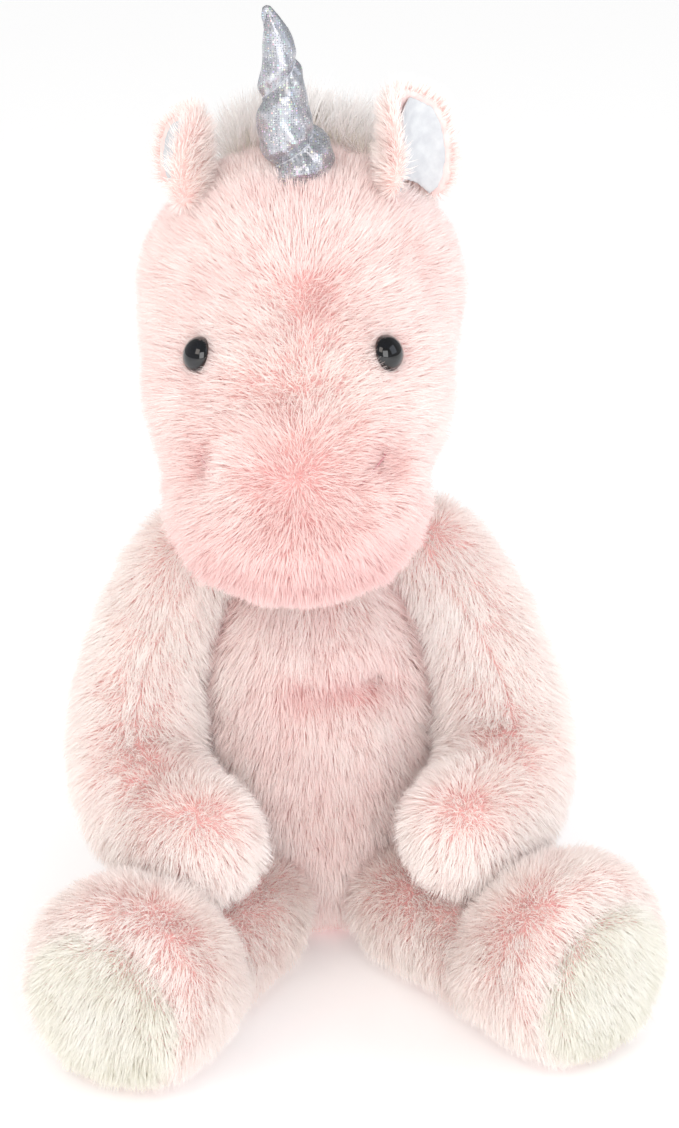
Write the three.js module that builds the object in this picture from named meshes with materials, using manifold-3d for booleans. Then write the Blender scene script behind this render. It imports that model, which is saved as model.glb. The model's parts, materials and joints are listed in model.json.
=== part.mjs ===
// A seated plush unicorn, built as a sewn toy comes apart: skin panels, linings, stuffing, eyes and
// their washers, a wound horn, and limbs that turn at their seams.
// Millimetres, +Z up. The toy faces -Y and sits on the plane z = 0. Its own left side is at +X.
import * as THREE from 'three';
import Module from 'manifold-3d';

// ---------- Cloth and clearances ----------
const SKIN = 3; // backing cloth and the dense foot of its pile
const GAP = 0.3; // between two pieces sewn or pressed together
const FILL_GAP = 0.5; // between a skin and the stuffing inside it
const LIMB_SEAM = 0.6; // between the two panels of a limb, wide enough to stay open where it bends
const LIMB_GAP = 1.2; // between the root of a limb and the torso

// ---------- Torso ----------
const TORSO_HEIGHT = 190;
const TORSO_HALF_WIDTH = 53;
const TORSO_HALF_DEPTH = 45;
const TORSO_BACKSET = 6; // how far the belly's centre lies behind the neck's axis
const TORSO_LEAN = 5; // how far the neck leans towards -X
const SEAT_THICKNESS = 3;
const SEAT_EDGE = 1; // how far the seat's lower edge is drawn in
const PELLET_BAG_HEIGHT = 20;
const LABEL = [0.8, 20, 14]; // thickness, reach from the seam, height
const LABEL_HEIGHT = 74;
const LABEL_STANDOFF = 1;

// ---------- Neck and head ----------
const NECK_DEPTH = 40; // from the torso's top down to the neck's pivot
const NECK_PIVOT_Z = TORSO_HEIGHT - NECK_DEPTH;
const NECK_HALF_WIDTH = 26;
const HEAD_TURN = -8; // degrees about +Z
const HEAD_ROLL = -1.5; // degrees about +Y
const CRANIUM = { y: 4, z: TORSO_HEIGHT + 92, half: [65, 57, 53] };
const CHEEKS = { y: -30, z: TORSO_HEIGHT + 61, half: [60, 50, 46] };
const MUZZLE = { y: -65, z: TORSO_HEIGHT + 24, half: [48, 43, 37] };
const HEAD_BLEND = 16; // radius that rounds one head form into the next
const HEAD_CENTRE = { y: -22, z: TORSO_HEIGHT + 67 };
const HEAD_REACH = 150; // further from the head's centre than any of its surface
const HEAD_SEAM_REACH = 60; // from the head's centre to a typical seam
const STITCH_RADIUS = 0.6;
const STITCH_LIFT = 1.2; // over the facets of the skin
const STITCH_LONGITUDES = [-19, -17];
const STITCH_LATITUDES = [21, 38];
const CROWN_STEPS = [-2, 16]; // where the centre strip starts and ends, in steps round the head
const CROWN_HALF_ANGLE = 19; // degrees, half the width of the centre strip

// ---------- Eyes ----------
const EYE_RADIUS = 7.2;
const EYE_HEIGHT = 6.4;
const EYE_SHANK_RADIUS = 2.3;
const EYE_SHANK_LENGTH = 15;
const EYE_WASHER_RADIUS = 8;
const EYE_WASHER_THICKNESS = 2;
const EYE_WASHER_DEPTH = SKIN + 1.6; // from the skin's outer face
const EYE_LIFT = 1.4; // from the skin to the flat back of the eye
const EYE_LONGITUDE = 22.5; // degrees above the straight-ahead line
const EYE_LATITUDE = 39.5; // degrees out to the side

// ---------- Horn ----------
const HORN_LENGTH = 67;
const HORN_BASE_RADIUS = 13;
const HORN_TIP_RADIUS = 3;
const HORN_WALL = 1.2;
const HORN_TURNS = 3; // bulges that the thread winds
const HORN_BULGE = 1.3;
const HORN_THREAD_RADIUS = 0.5;
const HORN_THREAD_LIFT = 0.0462 * HORN_BASE_RADIUS; // clears the facets, which fall short in step with it
const HORN_LONGITUDE = 97; // degrees round the head from straight ahead
const HORN_TILT_FORWARD = 8;
const HORN_TILT_SIDE = -7;
const HORN_LIFT = 2.4; // from the skin to the horn's foot
const HORN_THREAD_FROM = 0.06; // shares of the horn's length
const HORN_THREAD_TO = 0.94;

// ---------- Ears ----------
const EAR_LENGTH = { left: 41, right: 34 }; // above where the ear is sewn on
const EAR_HALF_WIDTH = 23;
const EAR_CUP_RADIUS = 19;
const EAR_PLUSH = 5;
const EAR_LINING = 1.5;
const EAR_LINING_INSET = 3; // the plush turns over the lining's edge
const EAR_WIDEST = 0.42; // share of the length
const EAR_BASE_TAPER = 0.3; // how much narrower the foot is than the widest row
const EAR_LIFT = 5; // from the skin to the ear's foot
const EAR_DROP = 15; // how far the outer side of the foot may follow the head down
const EAR_LONGITUDE = 106;
const EAR_LATITUDE = 31;
const EAR_TURN_OUT = { left: 60, right: 76 }; // degrees that each ear's mouth turns outwards
const EAR_LEAN_OUT = 4; // degrees

// ---------- Mane and tail ----------
const MANE_HEIGHT = 15;
const MANE_FOOT = 3;
const MANE_SPAN = [8, 15]; // steps round the head, from behind the horn to the nape
const MANE_END = 0.1; // share of a half wave that is left out at each end of the crest
const TAIL_ROOT_RADIUS = 9;
const TAIL_STATIONS = [[0, 0, 30, TAIL_ROOT_RADIUS], [0, 10, 24, 11], [2, 22, 16, 12], [5, 36, 12.5, 11],
  [8, 50, 10, 8]]; // x, how far behind the root, z, radius

// ---------- Legs ----------
const THIGH_RADIUS = 25;
const HIP_INSET = 13; // from the torso's side in to the thigh's centre line
const HIP_TUCK = 8; // how far the thigh's round root tucks in beside the round belly
const HIP = {
  x: TORSO_HALF_WIDTH - HIP_INSET,
  y: TORSO_BACKSET - TORSO_HALF_DEPTH + HIP_TUCK - THIGH_RADIUS,
};
const LEG_SPLAY = { left: 38, right: 35 }; // degrees from straight ahead
const LEG_LENGTH = 96; // from the hip's centre to the sole
const FOOT_RADIUS = 38;
const FOOT_LENGTH = 42;
const SOLE_RADIUS = 33;
const SOLE_THICKNESS = 3;
const SOLE_DOME = 4;
const ANKLE_BLEND = 12;
const FOOT_EDGE = 10; // length over which the foot rounds to its sole
const FLOOR_GAP = 0.4; // under the legs

// ---------- Arms ----------
const SHOULDER_Z = TORSO_HEIGHT - 24;
const HAND_LIFT = 24.6; // from the top of the thigh to the hand's centre line
const HAND_Z = 2 * THIGH_RADIUS + FLOOR_GAP + HAND_LIFT;
const ELBOW_Z = HAND_Z + 11;
const UPPER_ARM_Z = ELBOW_Z + 0.35 * (SHOULDER_Z - ELBOW_Z);
const SHOULDER_SEAT_Z = SHOULDER_Z - 8; // where the arm's root bears on the torso's side
const SHOULDER_OUT = 18.93; // from the torso's side there to the centre line of the root

// ---------- Facets ----------
const HEAD_SEGMENTS = 24;
const SIDE_ROWS = 5;
const CROWN_ROWS = 4;
const TORSO_SEGMENTS = 24;
const LIMB_SEGMENTS = 16;
const CAP_ROWS = 3;
const ARM_RINGS = 8;
const LEG_RINGS = 6;
const TAIL_RINGS = 6;
const EYE_SEGMENTS = 14;
const EYE_ARC = 4;
const EAR_ROWS = 7;
const EAR_COLUMNS = 8;
const HORN_RINGS = 12;
const HORN_SEGMENTS = 14;
const THREAD_SIDES = 5;

const RAD = Math.PI / 180;
const SIDES = { left: 1, right: -1 };
const wasm = await Module();
wasm.setup();

// ---------- Materials ----------
const plush = (color, roughness = 0.95) => new THREE.MeshStandardMaterial({ color, roughness });
const PINK = plush(0xf3cfcb);
const WHITE = plush(0xeceae4);
const VELOUR = plush(0xe2e4e4, 0.8);
const FIBREFILL = plush(0xf4f4f0);
const LINEN = plush(0xcfc8b8, 0.9);
const SATIN = plush(0xf2f2f0, 0.6);
const SILVER = new THREE.MeshStandardMaterial({ color: 0xb9bcc4, roughness: 0.35, metalness: 0.6 });
const THREAD = plush(0xc9ccd2, 0.6);
const PINK_THREAD = plush(0xd79a9c, 0.7);
const BLACK = new THREE.MeshStandardMaterial({ color: 0x0b0b0d, roughness: 0.08 });
const WASHER = plush(0xe6e6e6, 0.5);

// ---------- Mesh helpers ----------

// Welds a list of triangles, each three points, into one closed geometry that faces outwards.
function closedGeometry(triangles) {
  const keys = new Map();
  const positions = [];
  const vertexOf = (p) => {
    const key = [p.x, p.y, p.z].map((c) => Math.round(c * 1e4)).join();
    if (!keys.has(key)) {
      keys.set(key, positions.length / 3);
      positions.push(p.x, p.y, p.z);
    }
    return keys.get(key);
  };
  const faces = [];
  let volume = 0;
  for (const [p, q, r] of triangles) {
    const face = [vertexOf(p), vertexOf(q), vertexOf(r)];
    if (new Set(face).size < 3) continue;
    faces.push(face);
    volume += p.dot(new THREE.Vector3().crossVectors(q, r));
  }
  if (volume < 0) faces.forEach((face) => face.reverse());
  const geometry = new THREE.BufferGeometry();
  geometry.setAttribute('position', new THREE.Float32BufferAttribute(positions, 3));
  geometry.setIndex(faces.flat());
  geometry.computeVertexNormals();
  return geometry;
}

// The two triangles of each square of a grid of points.
function gridTriangles(rows, flip = false) {
  const triangles = [];
  for (let j = 0; j + 1 < rows.length; j++) {
    for (let i = 0; i + 1 < rows[j].length; i++) {
      const [a, b, c, d] = [rows[j][i], rows[j][i + 1], rows[j + 1][i + 1], rows[j + 1][i]];
      triangles.push(flip ? [a, c, b] : [a, b, c], flip ? [a, d, c] : [a, c, d]);
    }
  }
  return triangles;
}

// A closed solid whose rows of points start and end on one point each.
function solidFromRows(rows) {
  return closedGeometry(gridTriangles(rows));
}

// A sheet with thickness between two grids of points. A wrapped sheet closes on itself along its rows.
function sheetBetween(outer, inner, wrapped = false) {
  const last = outer.length - 1;
  const ends = [[outer[0], inner[0]], [inner[last], outer[last]]];
  const column = (grid, i) => grid.map((row) => row[i]);
  const edge = outer[0].length - 1;
  const flanks = [[column(inner, 0), column(outer, 0)], [column(outer, edge), column(inner, edge)]];
  const sides = wrapped ? [] : flanks;
  const walls = [...ends, ...sides].flatMap((pair) => gridTriangles(pair, true));
  return closedGeometry([...gridTriangles(outer), ...gridTriangles(inner, true), ...walls]);
}

const toManifold = (geometry) => new wasm.Manifold(new wasm.Mesh({
  numProp: 3,
  vertProperties: geometry.attributes.position.array,
  triVerts: new Uint32Array(geometry.index.array),
}));

// Cuts each tool out of a geometry.
function cut(geometry, tools) {
  const solid = tools.reduce((rest, tool) => rest.subtract(toManifold(tool)), toManifold(geometry));
  const mesh = solid.getMesh();
  const made = new THREE.BufferGeometry();
  made.setAttribute('position', new THREE.BufferAttribute(new Float32Array(mesh.vertProperties), 3));
  made.setIndex(new THREE.BufferAttribute(new Uint32Array(mesh.triVerts), 1));
  made.computeVertexNormals();
  return made;
}

function named(name, geometry, material) {
  const mesh = new THREE.Mesh(geometry, material);
  mesh.name = name;
  return mesh;
}

const range = (count) => Array.from({ length: count + 1 }, (_, i) => i / count);
const mix = THREE.MathUtils.lerp;

// ---------- Torso: a pear with a flat seat, leaning a little to one side ----------

// Height, half width and half depth of each ring, as shares of the torso's three sizes.
const TORSO_PROFILE = [[0, 0.82, 0.8], [0.06, 0.9, 0.88], [0.14, 0.96, 0.95], [0.3, 1, 1],
  [0.47, 0.97, 0.95], [0.61, 0.89, 0.86], [0.74, 0.77, 0.78], [0.84, 0.59, 0.67], [0.92, 0.47, 0.57],
  [0.975, 0.4, 0.46], [1, 0.24, 0.28]];

// The half width and half depth at a height, straight between the two nearest rings.
function torsoHalves(z) {
  const height = z / TORSO_HEIGHT;
  const above = Math.max(1, TORSO_PROFILE.findIndex(([ring]) => ring >= height));
  const [low, high] = [TORSO_PROFILE[above - 1], TORSO_PROFILE[above]];
  const t = (height - low[0]) / (high[0] - low[0]);
  return [mix(low[1], high[1], t) * TORSO_HALF_WIDTH, mix(low[2], high[2], t) * TORSO_HALF_DEPTH];
}

const torsoAxis = (z) => new THREE.Vector3(
  (-TORSO_LEAN * z) / TORSO_HEIGHT,
  TORSO_BACKSET * (1 - z / TORSO_HEIGHT),
  z,
);

// A ring of the torso from one angle to another, set in from the outer skin. Angle 0 is the front.
function torsoRing(z, inset, from = 0, to = 360) {
  const [halfWidth, halfDepth] = torsoHalves(z);
  return range(Math.round((TORSO_SEGMENTS * (to - from)) / 360)).map((t) => {
    const angle = mix(from, to, t) * RAD;
    const out = new THREE.Vector3(Math.sin(angle), -Math.cos(angle), 0);
    out.multiply(new THREE.Vector3(halfWidth - inset, halfDepth - inset, 0));
    return torsoAxis(z).add(out);
  });
}

const torsoCentreRow = (z) => range(TORSO_SEGMENTS).map(() => torsoAxis(z));

// The heights of the torso's rings between two heights, with both ends.
const torsoHeights = (bottom, top) => [bottom,
  ...TORSO_PROFILE.map(([ring]) => ring * TORSO_HEIGHT).filter((z) => z > bottom + 1 && z < top - 1), top];

// A solid slice of the torso, flat above and below.
function torsoSlice(name, bottom, top, inset, material, bottomInset = inset) {
  const rings = torsoHeights(bottom, top).map((z) => torsoRing(z, z === bottom ? bottomInset : inset));
  return named(name, solidFromRows([torsoCentreRow(bottom), ...rings, torsoCentreRow(top)]), material);
}

// Each quarter of the skin stands half a gap off both planes that its seams lie in.
function torsoPanel(name, from, to) {
  const heights = torsoHeights(SEAT_THICKNESS + GAP, TORSO_HEIGHT);
  const grid = (inset) => heights.map((z) => torsoRing(z, inset, from, to));
  const panel = named(name, sheetBetween(grid(0), grid(SKIN)), PINK);
  const middle = ((from + to) / 2) * RAD;
  panel.position.set(Math.sin(middle), -Math.cos(middle), 0).multiplyScalar(GAP * Math.SQRT1_2);
  return panel;
}

function careLabel() {
  const [, halfDepth] = torsoHalves(LABEL_HEIGHT);
  const label = named('care_label', new THREE.BoxGeometry(LABEL[0], LABEL[1], LABEL[2]), SATIN);
  label.position.copy(torsoAxis(LABEL_HEIGHT));
  label.position.y += halfDepth + GAP + LABEL[1] / 2 + LABEL_STANDOFF;
  return label;
}

function torso() {
  const group = new THREE.Group();
  const bagBottom = SEAT_THICKNESS + FILL_GAP;
  const bagTop = bagBottom + PELLET_BAG_HEIGHT;
  const inset = SKIN + FILL_GAP;
  group.add(
    torsoSlice('seat_panel', 0, SEAT_THICKNESS, 0, PINK, SEAT_EDGE),
    torsoSlice('pellet_bag', bagBottom, bagTop, inset, LINEN),
    torsoSlice('torso_stuffing', bagTop + GAP, TORSO_HEIGHT, inset, FIBREFILL),
    torsoPanel('torso_front_left', 0, 90),
    torsoPanel('torso_back_left', 90, 180),
    torsoPanel('torso_back_right', 180, 270),
    torsoPanel('torso_front_right', 270, 360),
    careLabel(),
  );
  return group;
}

// ---------- Limbs: round tubes of two panels round their stuffing ----------

// Rings along a limb. The polar angle is 90 degrees on the tube and falls to 0 at the pole of a round end.
// The out direction points away from the toy's middle, so the seams run on the other two sides.
const limbRing = (centre, along, out, radius, polar = 90, end = -1) => (
  { centre, along, out, across: along.clone().cross(out), radius, polar, end });

const roundEnd = (centre, along, out, radius, end) => range(CAP_ROWS).slice(0, -1)
  .map((t) => limbRing(centre, along, out, radius, t * 90, end));

function ringPoints(ring, inset, from, to, shift) {
  const radius = ring.radius - inset;
  const middle = ring.centre.clone()
    .addScaledVector(ring.along, ring.end * Math.cos(ring.polar * RAD) * radius)
    .addScaledVector(ring.out, shift);
  const spread = Math.sin(ring.polar * RAD) * radius;
  return range(Math.round((LIMB_SEGMENTS * (to - from)) / 360)).map((t) => {
    const angle = mix(from, to, t) * RAD;
    return middle.clone()
      .addScaledVector(ring.out, Math.cos(angle) * spread)
      .addScaledVector(ring.across, Math.sin(angle) * spread);
  });
}

function limbPanel(name, rings, from, material) {
  const shift = from < 0 ? LIMB_SEAM / 2 : -LIMB_SEAM / 2;
  const grid = (inset) => rings.map((ring) => ringPoints(ring, inset, from, from + 180, shift));
  return named(name, sheetBetween(grid(0), grid(SKIN)), material);
}

function limbStuffing(name, rings) {
  const rows = rings.map((ring) => ringPoints(ring, SKIN + FILL_GAP, 0, 360, 0));
  const last = rings.at(-1);
  if (last.polar > 0) rows.push(rows.at(-1).map(() => last.centre.clone()));
  return named(name, solidFromRows(rows), FIBREFILL);
}

// x, y, z of the centre line, then the radius. The root follows the torso's side at the shoulder,
// the rest its widest place.
const ARM_STATIONS = [
  [torsoHalves(SHOULDER_SEAT_Z)[0] + SHOULDER_OUT, 0, SHOULDER_Z, 20],
  [TORSO_HALF_WIDTH + 11, -3, SHOULDER_Z - 22, 21.5],
  [TORSO_HALF_WIDTH + 22, -12, UPPER_ARM_Z, 23.5],
  [TORSO_HALF_WIDTH + 25.5, -30, ELBOW_Z, 25],
  [TORSO_HALF_WIDTH + 15.5, -54, HAND_Z, 24.5],
  [TORSO_HALF_WIDTH, -76, HAND_Z, 22],
];

// The stations of one arm, mirrored for the right side and moved with the torso's lean.
function armRings(side) {
  const placed = ARM_STATIONS.map(([x, y, z]) => new THREE.Vector3(SIDES[side] * x + torsoAxis(z).x, y, z));
  const curve = new THREE.CatmullRomCurve3(placed);
  const radii = new THREE.CatmullRomCurve3(ARM_STATIONS.map(([, , , r], i) => new THREE.Vector3(i, r, 0)));
  const outwards = new THREE.Vector3(SIDES[side], 0, 0);
  const tube = range(ARM_RINGS).map((t) => {
    const along = curve.getTangent(t);
    const out = outwards.clone().addScaledVector(along, -outwards.dot(along)).normalize();
    return limbRing(curve.getPoint(t), along, out, radii.getPoint(t).y);
  });
  const [first, last] = [tube[0], tube.at(-1)];
  return [...roundEnd(first.centre, first.along, first.out, first.radius, -1), ...tube,
    ...roundEnd(last.centre, last.along, last.out, last.radius, 1).reverse()];
}

function arm(side) {
  const group = new THREE.Group();
  const rings = armRings(side);
  group.add(
    limbPanel(`arm_${side}_outer_panel`, rings, -90, PINK),
    limbPanel(`arm_${side}_inner_panel`, rings, 90, PINK),
    limbStuffing(`arm_${side}_stuffing`, rings),
  );
  return group;
}

// A leg swells from thigh to foot, and rounds over at the sole.
function legRadius(distance) {
  const ankle = LEG_LENGTH - FOOT_LENGTH;
  const swell = THREE.MathUtils.smoothstep(distance, ankle - ANKLE_BLEND, ankle + ANKLE_BLEND);
  const turned = Math.max(0, (distance - LEG_LENGTH + FOOT_EDGE) / FOOT_EDGE);
  const edge = (FOOT_RADIUS - SOLE_RADIUS) * (1 - Math.sqrt(1 - turned ** 2));
  return mix(THIGH_RADIUS, FOOT_RADIUS, swell) - edge;
}

function legPlace(side, distance, radius) {
  const splay = LEG_SPLAY[side] * RAD;
  const along = new THREE.Vector3(SIDES[side] * Math.sin(splay), -Math.cos(splay), 0);
  const out = new THREE.Vector3(SIDES[side] * Math.cos(splay), Math.sin(splay), 0);
  const centre = new THREE.Vector3(SIDES[side] * HIP.x, HIP.y, FLOOR_GAP + radius);
  return { centre: centre.addScaledVector(along, distance), along, out };
}

function legRings(side) {
  const stations = [...range(LEG_RINGS).map((t) => t * (LEG_LENGTH - FOOT_EDGE)),
    ...range(CAP_ROWS).slice(1).map((t) => LEG_LENGTH - FOOT_EDGE * Math.cos(t * 90 * RAD))];
  const tube = stations.map((distance) => {
    const radius = legRadius(distance);
    const { centre, along, out } = legPlace(side, distance, radius);
    return limbRing(centre, along, out, radius);
  });
  const [first] = tube;
  return [...roundEnd(first.centre, first.along, first.out, first.radius, -1), ...tube];
}

// The sole is a shallow dome over the open end of the leg.
function solePad(side) {
  const { centre, along, out } = legPlace(side, LEG_LENGTH + GAP, SOLE_RADIUS);
  const ring = (distance, radius) => ringPoints(
    limbRing(centre.clone().addScaledVector(along, distance), along, out, radius), 0, 0, 360, 0);
  const dome = range(CAP_ROWS).map((t) => ring(
    SOLE_THICKNESS + SOLE_DOME * Math.sin(t * 90 * RAD), SOLE_RADIUS * Math.cos(t * 90 * RAD)));
  return named(`foot_${side}_sole`, solidFromRows([ring(0, 0), ring(0, SOLE_RADIUS), ...dome]), WHITE);
}

function leg(side) {
  const group = new THREE.Group();
  const rings = legRings(side);
  group.add(
    limbPanel(`leg_${side}_outer_panel`, rings, -90, PINK),
    limbPanel(`leg_${side}_inner_panel`, rings, 90, PINK),
    limbStuffing(`leg_${side}_stuffing`, rings),
    solePad(side),
  );
  return group;
}

function tail() {
  const [rx, , rz] = TAIL_STATIONS[0];
  const [, halfDepth] = torsoHalves(rz);
  const rootY = torsoAxis(rz).y + halfDepth + TAIL_ROOT_RADIUS + LIMB_GAP;
  const points = TAIL_STATIONS.map(([x, y, z]) => new THREE.Vector3(x + rx, rootY + y, z));
  const curve = new THREE.CatmullRomCurve3(points);
  const radii = new THREE.CatmullRomCurve3(TAIL_STATIONS.map(([, , , r], i) => new THREE.Vector3(i, r, 0)));
  const out = new THREE.Vector3(1, 0, 0);
  const tube = range(TAIL_RINGS).map((t) => limbRing(curve.getPoint(t), curve.getTangent(t), out,
    radii.getPoint(t).y));
  const [first, last] = [tube[0], tube.at(-1)];
  const rings = [...roundEnd(first.centre, first.along, out, first.radius, -1), ...tube,
    ...roundEnd(last.centre, last.along, out, last.radius, 1).reverse()];
  const rows = rings.map((ring) => ringPoints(ring, 0, 0, 360, 0));
  return named('tail', solidFromRows(rows), WHITE);
}

// ---------- Head: one rounded form made of three ellipsoids ----------

const HEAD_FORMS = [CRANIUM, CHEEKS, MUZZLE];
const headCentre = new THREE.Vector3(0, HEAD_CENTRE.y, HEAD_CENTRE.z);

// A number below zero inside the head, above zero outside, near a distance in millimetres.
function headDistance(point) {
  return HEAD_FORMS.reduce((nearest, { y, z, half }) => {
    const [a, b, c] = [point.x / half[0], (point.y - y) / half[1], (point.z - z) / half[2]];
    const reach = Math.hypot(a, b, c);
    const pull = Math.max(Math.hypot(a / half[0], b / half[1], c / half[2]), 1e-6);
    const distance = (reach * (reach - 1)) / pull;
    const share = Math.max(HEAD_BLEND - Math.abs(nearest - distance), 0) / HEAD_BLEND;
    return Math.min(nearest, distance) - (share ** 2 * HEAD_BLEND) / 4;
  }, Infinity);
}

// Longitude turns from straight ahead (0) over the top (90) to the back (180); latitude leads out
// to a side.
function headDirection(longitude, latitude) {
  const [lon, lat] = [longitude * RAD, latitude * RAD];
  return new THREE.Vector3(Math.sin(lat), -Math.cos(lat) * Math.cos(lon), Math.cos(lat) * Math.sin(lon));
}

// The point of the head's surface along a direction from its centre, raised by a height.
function headPoint(longitude, latitude, height = 0) {
  const direction = headDirection(longitude, latitude);
  let [near, far] = [0, HEAD_REACH];
  for (let step = 0; step < 30; step++) {
    const middle = (near + far) / 2;
    const inside = headDistance(headCentre.clone().addScaledVector(direction, middle)) < 0;
    [near, far] = inside ? [middle, far] : [near, middle];
  }
  return headCentre.clone().addScaledVector(direction, near + height);
}

// The direction straight out of the head's surface at a point.
function headNormal(longitude, latitude) {
  const point = headPoint(longitude, latitude);
  const slope = (axis) => headDistance(point.clone().add(axis)) - headDistance(point.clone().sub(axis));
  return new THREE.Vector3(
    slope(new THREE.Vector3(0.5, 0, 0)),
    slope(new THREE.Vector3(0, 0.5, 0)),
    slope(new THREE.Vector3(0, 0, 0.5)),
  ).normalize();
}

const SEAM_ANGLE = GAP / 2 / HEAD_SEAM_REACH / RAD;

// A grid over part of the head. The height may be a number, or depend on where the point is.
function headGrid(longitudes, latitudes, height) {
  return latitudes.map((latitude) => longitudes.map((longitude) => headPoint(
    longitude, latitude, typeof height === 'number' ? height : height(longitude, latitude))));
}

const LONGITUDE_STEP = 360 / HEAD_SEGMENTS;
const spread = (from, to, count) => range(count).map((t) => mix(from, to, t));

// Every whole step of longitude between two, the ends drawn in by half a seam.
function longitudesBetween(from, to) {
  const steps = spread(from, to, Math.round((to - from) / LONGITUDE_STEP));
  return [from + SEAM_ANGLE, ...steps.slice(1, -1), to - SEAM_ANGLE];
}

function headStrip(name, from, to, material) {
  const longitudes = longitudesBetween(from * LONGITUDE_STEP, to * LONGITUDE_STEP);
  const reach = CROWN_HALF_ANGLE;
  const latitudes = spread(-reach, reach, CROWN_ROWS);
  return named(name, sheetBetween(
    headGrid(longitudes, latitudes, 0), headGrid(longitudes, latitudes, -SKIN)), material);
}

// The stem of the eye needs a hole through the skin, and its washer a pocket in the stuffing.
function eyePlace(side) {
  const [longitude, latitude] = [EYE_LONGITUDE, SIDES[side] * EYE_LATITUDE];
  return { point: headPoint(longitude, latitude), normal: headNormal(longitude, latitude) };
}

// A round bar along the eye's axis, from one depth under the skin to another.
function eyeBar(side, radius, from, to) {
  const { point, normal } = eyePlace(side);
  const bar = new THREE.CylinderGeometry(radius, radius, to - from, EYE_SEGMENTS);
  bar.translate(0, -(from + to) / 2, 0);
  bar.applyQuaternion(new THREE.Quaternion().setFromUnitVectors(new THREE.Vector3(0, 1, 0), normal));
  bar.translate(point.x, point.y, point.z);
  return closedBar(bar);
}

// A cylinder whose sides and caps share their edges.
function closedBar(bar) {
  const { position } = bar.attributes;
  const corner = (i) => new THREE.Vector3().fromBufferAttribute(position, bar.index.getX(i));
  const triangle = (_, i) => [0, 1, 2].map((k) => corner(3 * i + k));
  return closedGeometry(Array.from({ length: bar.index.count / 3 }, triangle));
}

function headSide(side) {
  const edge = CROWN_HALF_ANGLE + 2 * SEAM_ANGLE;
  const latitudes = side === 'left' ? spread(edge, 90, SIDE_ROWS) : spread(-90, -edge, SIDE_ROWS);
  const grid = (height) => headGrid(spread(0, 360, HEAD_SEGMENTS), latitudes, height);
  const hole = eyeBar(side, EYE_SHANK_RADIUS + GAP, -SKIN, 3 * SKIN);
  return named(`head_${side}_panel`, cut(sheetBetween(grid(0), grid(-SKIN), true), [hole]), PINK);
}

function headStuffing() {
  const edge = CROWN_HALF_ANGLE;
  const latitudes = [...spread(-90, -edge, SIDE_ROWS), ...spread(-edge, edge, CROWN_ROWS).slice(1),
    ...spread(edge, 90, SIDE_ROWS).slice(1)];
  const body = solidFromRows(headGrid(spread(0, 360, HEAD_SEGMENTS), latitudes, -SKIN - FILL_GAP));
  const pockets = Object.keys(SIDES).flatMap((side) => [
    eyeBar(side, EYE_WASHER_RADIUS + GAP, -SKIN, EYE_WASHER_DEPTH + EYE_WASHER_THICKNESS + GAP),
    eyeBar(side, EYE_SHANK_RADIUS + GAP, 0, EYE_SHANK_LENGTH + GAP),
  ]);
  return named('head_stuffing', cut(body, pockets), FIBREFILL);
}

// A domed safety eye and its stem are one moulding.
function eye(side) {
  const { point, normal } = eyePlace(side);
  const arc = range(EYE_ARC).map((t) => new THREE.Vector2(
    EYE_RADIUS * Math.cos(t * 90 * RAD), EYE_HEIGHT * Math.sin(t * 90 * RAD)));
  const stem = EYE_SHANK_LENGTH + EYE_LIFT;
  const profile = [new THREE.Vector2(0, -stem), new THREE.Vector2(EYE_SHANK_RADIUS, -stem),
    new THREE.Vector2(EYE_SHANK_RADIUS, 0), ...arc];
  profile.at(-1).x = 0;
  const mesh = named(`eye_${side}`, closedBar(new THREE.LatheGeometry(profile, EYE_SEGMENTS)), BLACK);
  mesh.quaternion.setFromUnitVectors(new THREE.Vector3(0, 1, 0), normal);
  mesh.position.copy(point).addScaledVector(normal, EYE_LIFT);
  return mesh;
}

function eyeWasher(side) {
  const disc = eyeBar(side, EYE_WASHER_RADIUS, EYE_WASHER_DEPTH, EYE_WASHER_DEPTH + EYE_WASHER_THICKNESS);
  const hole = eyeBar(side, EYE_SHANK_RADIUS + GAP, 0, EYE_SHANK_LENGTH);
  return named(`eye_washer_${side}`, cut(disc, [hole]), WASHER);
}

// A round thread along a curve, with both ends closed.
function threadAlong(points, radius, steps) {
  const section = new THREE.Shape(range(THREAD_SIDES).slice(0, -1).map((t) => new THREE.Vector2(
    radius * Math.cos(t * 360 * RAD), radius * Math.sin(t * 360 * RAD))));
  return new THREE.ExtrudeGeometry(section, { steps, extrudePath: new THREE.CatmullRomCurve3(points) });
}

// A pulled stitch that pinches one side of the muzzle.
function muzzleStitch(side) {
  const points = range(4).map((t) => headPoint(mix(...STITCH_LONGITUDES, t),
    SIDES[side] * mix(...STITCH_LATITUDES, t), STITCH_LIFT + STITCH_RADIUS));
  return named(`muzzle_stitch_${side}`, threadAlong(points, STITCH_RADIUS, 8), PINK_THREAD);
}

// A crest of long pile from behind the horn to the nape.
function mane() {
  const longitudes = spread(...MANE_SPAN.map((step) => step * LONGITUDE_STEP), MANE_SPAN[1] - MANE_SPAN[0]);
  const latitudes = spread(-CROWN_HALF_ANGLE, CROWN_HALF_ANGLE, CROWN_ROWS);
  const crest = (longitude, latitude) => {
    const [from, to] = MANE_SPAN.map((step) => step * LONGITUDE_STEP);
    const along = Math.sin(mix(MANE_END, 1 - MANE_END, (longitude - from) / (to - from)) * Math.PI);
    const over = Math.cos((latitude / CROWN_HALF_ANGLE) * 90 * RAD);
    return MANE_FOOT + MANE_HEIGHT * Math.sqrt(Math.max(over * along, 0));
  };
  const foot = headGrid(longitudes, latitudes, 2 * GAP);
  return named('mane', sheetBetween(headGrid(longitudes, latitudes, crest), foot), WHITE);
}

// ---------- Ears: a cupped leaf of plush with a velour lining in its hollow ----------

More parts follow.
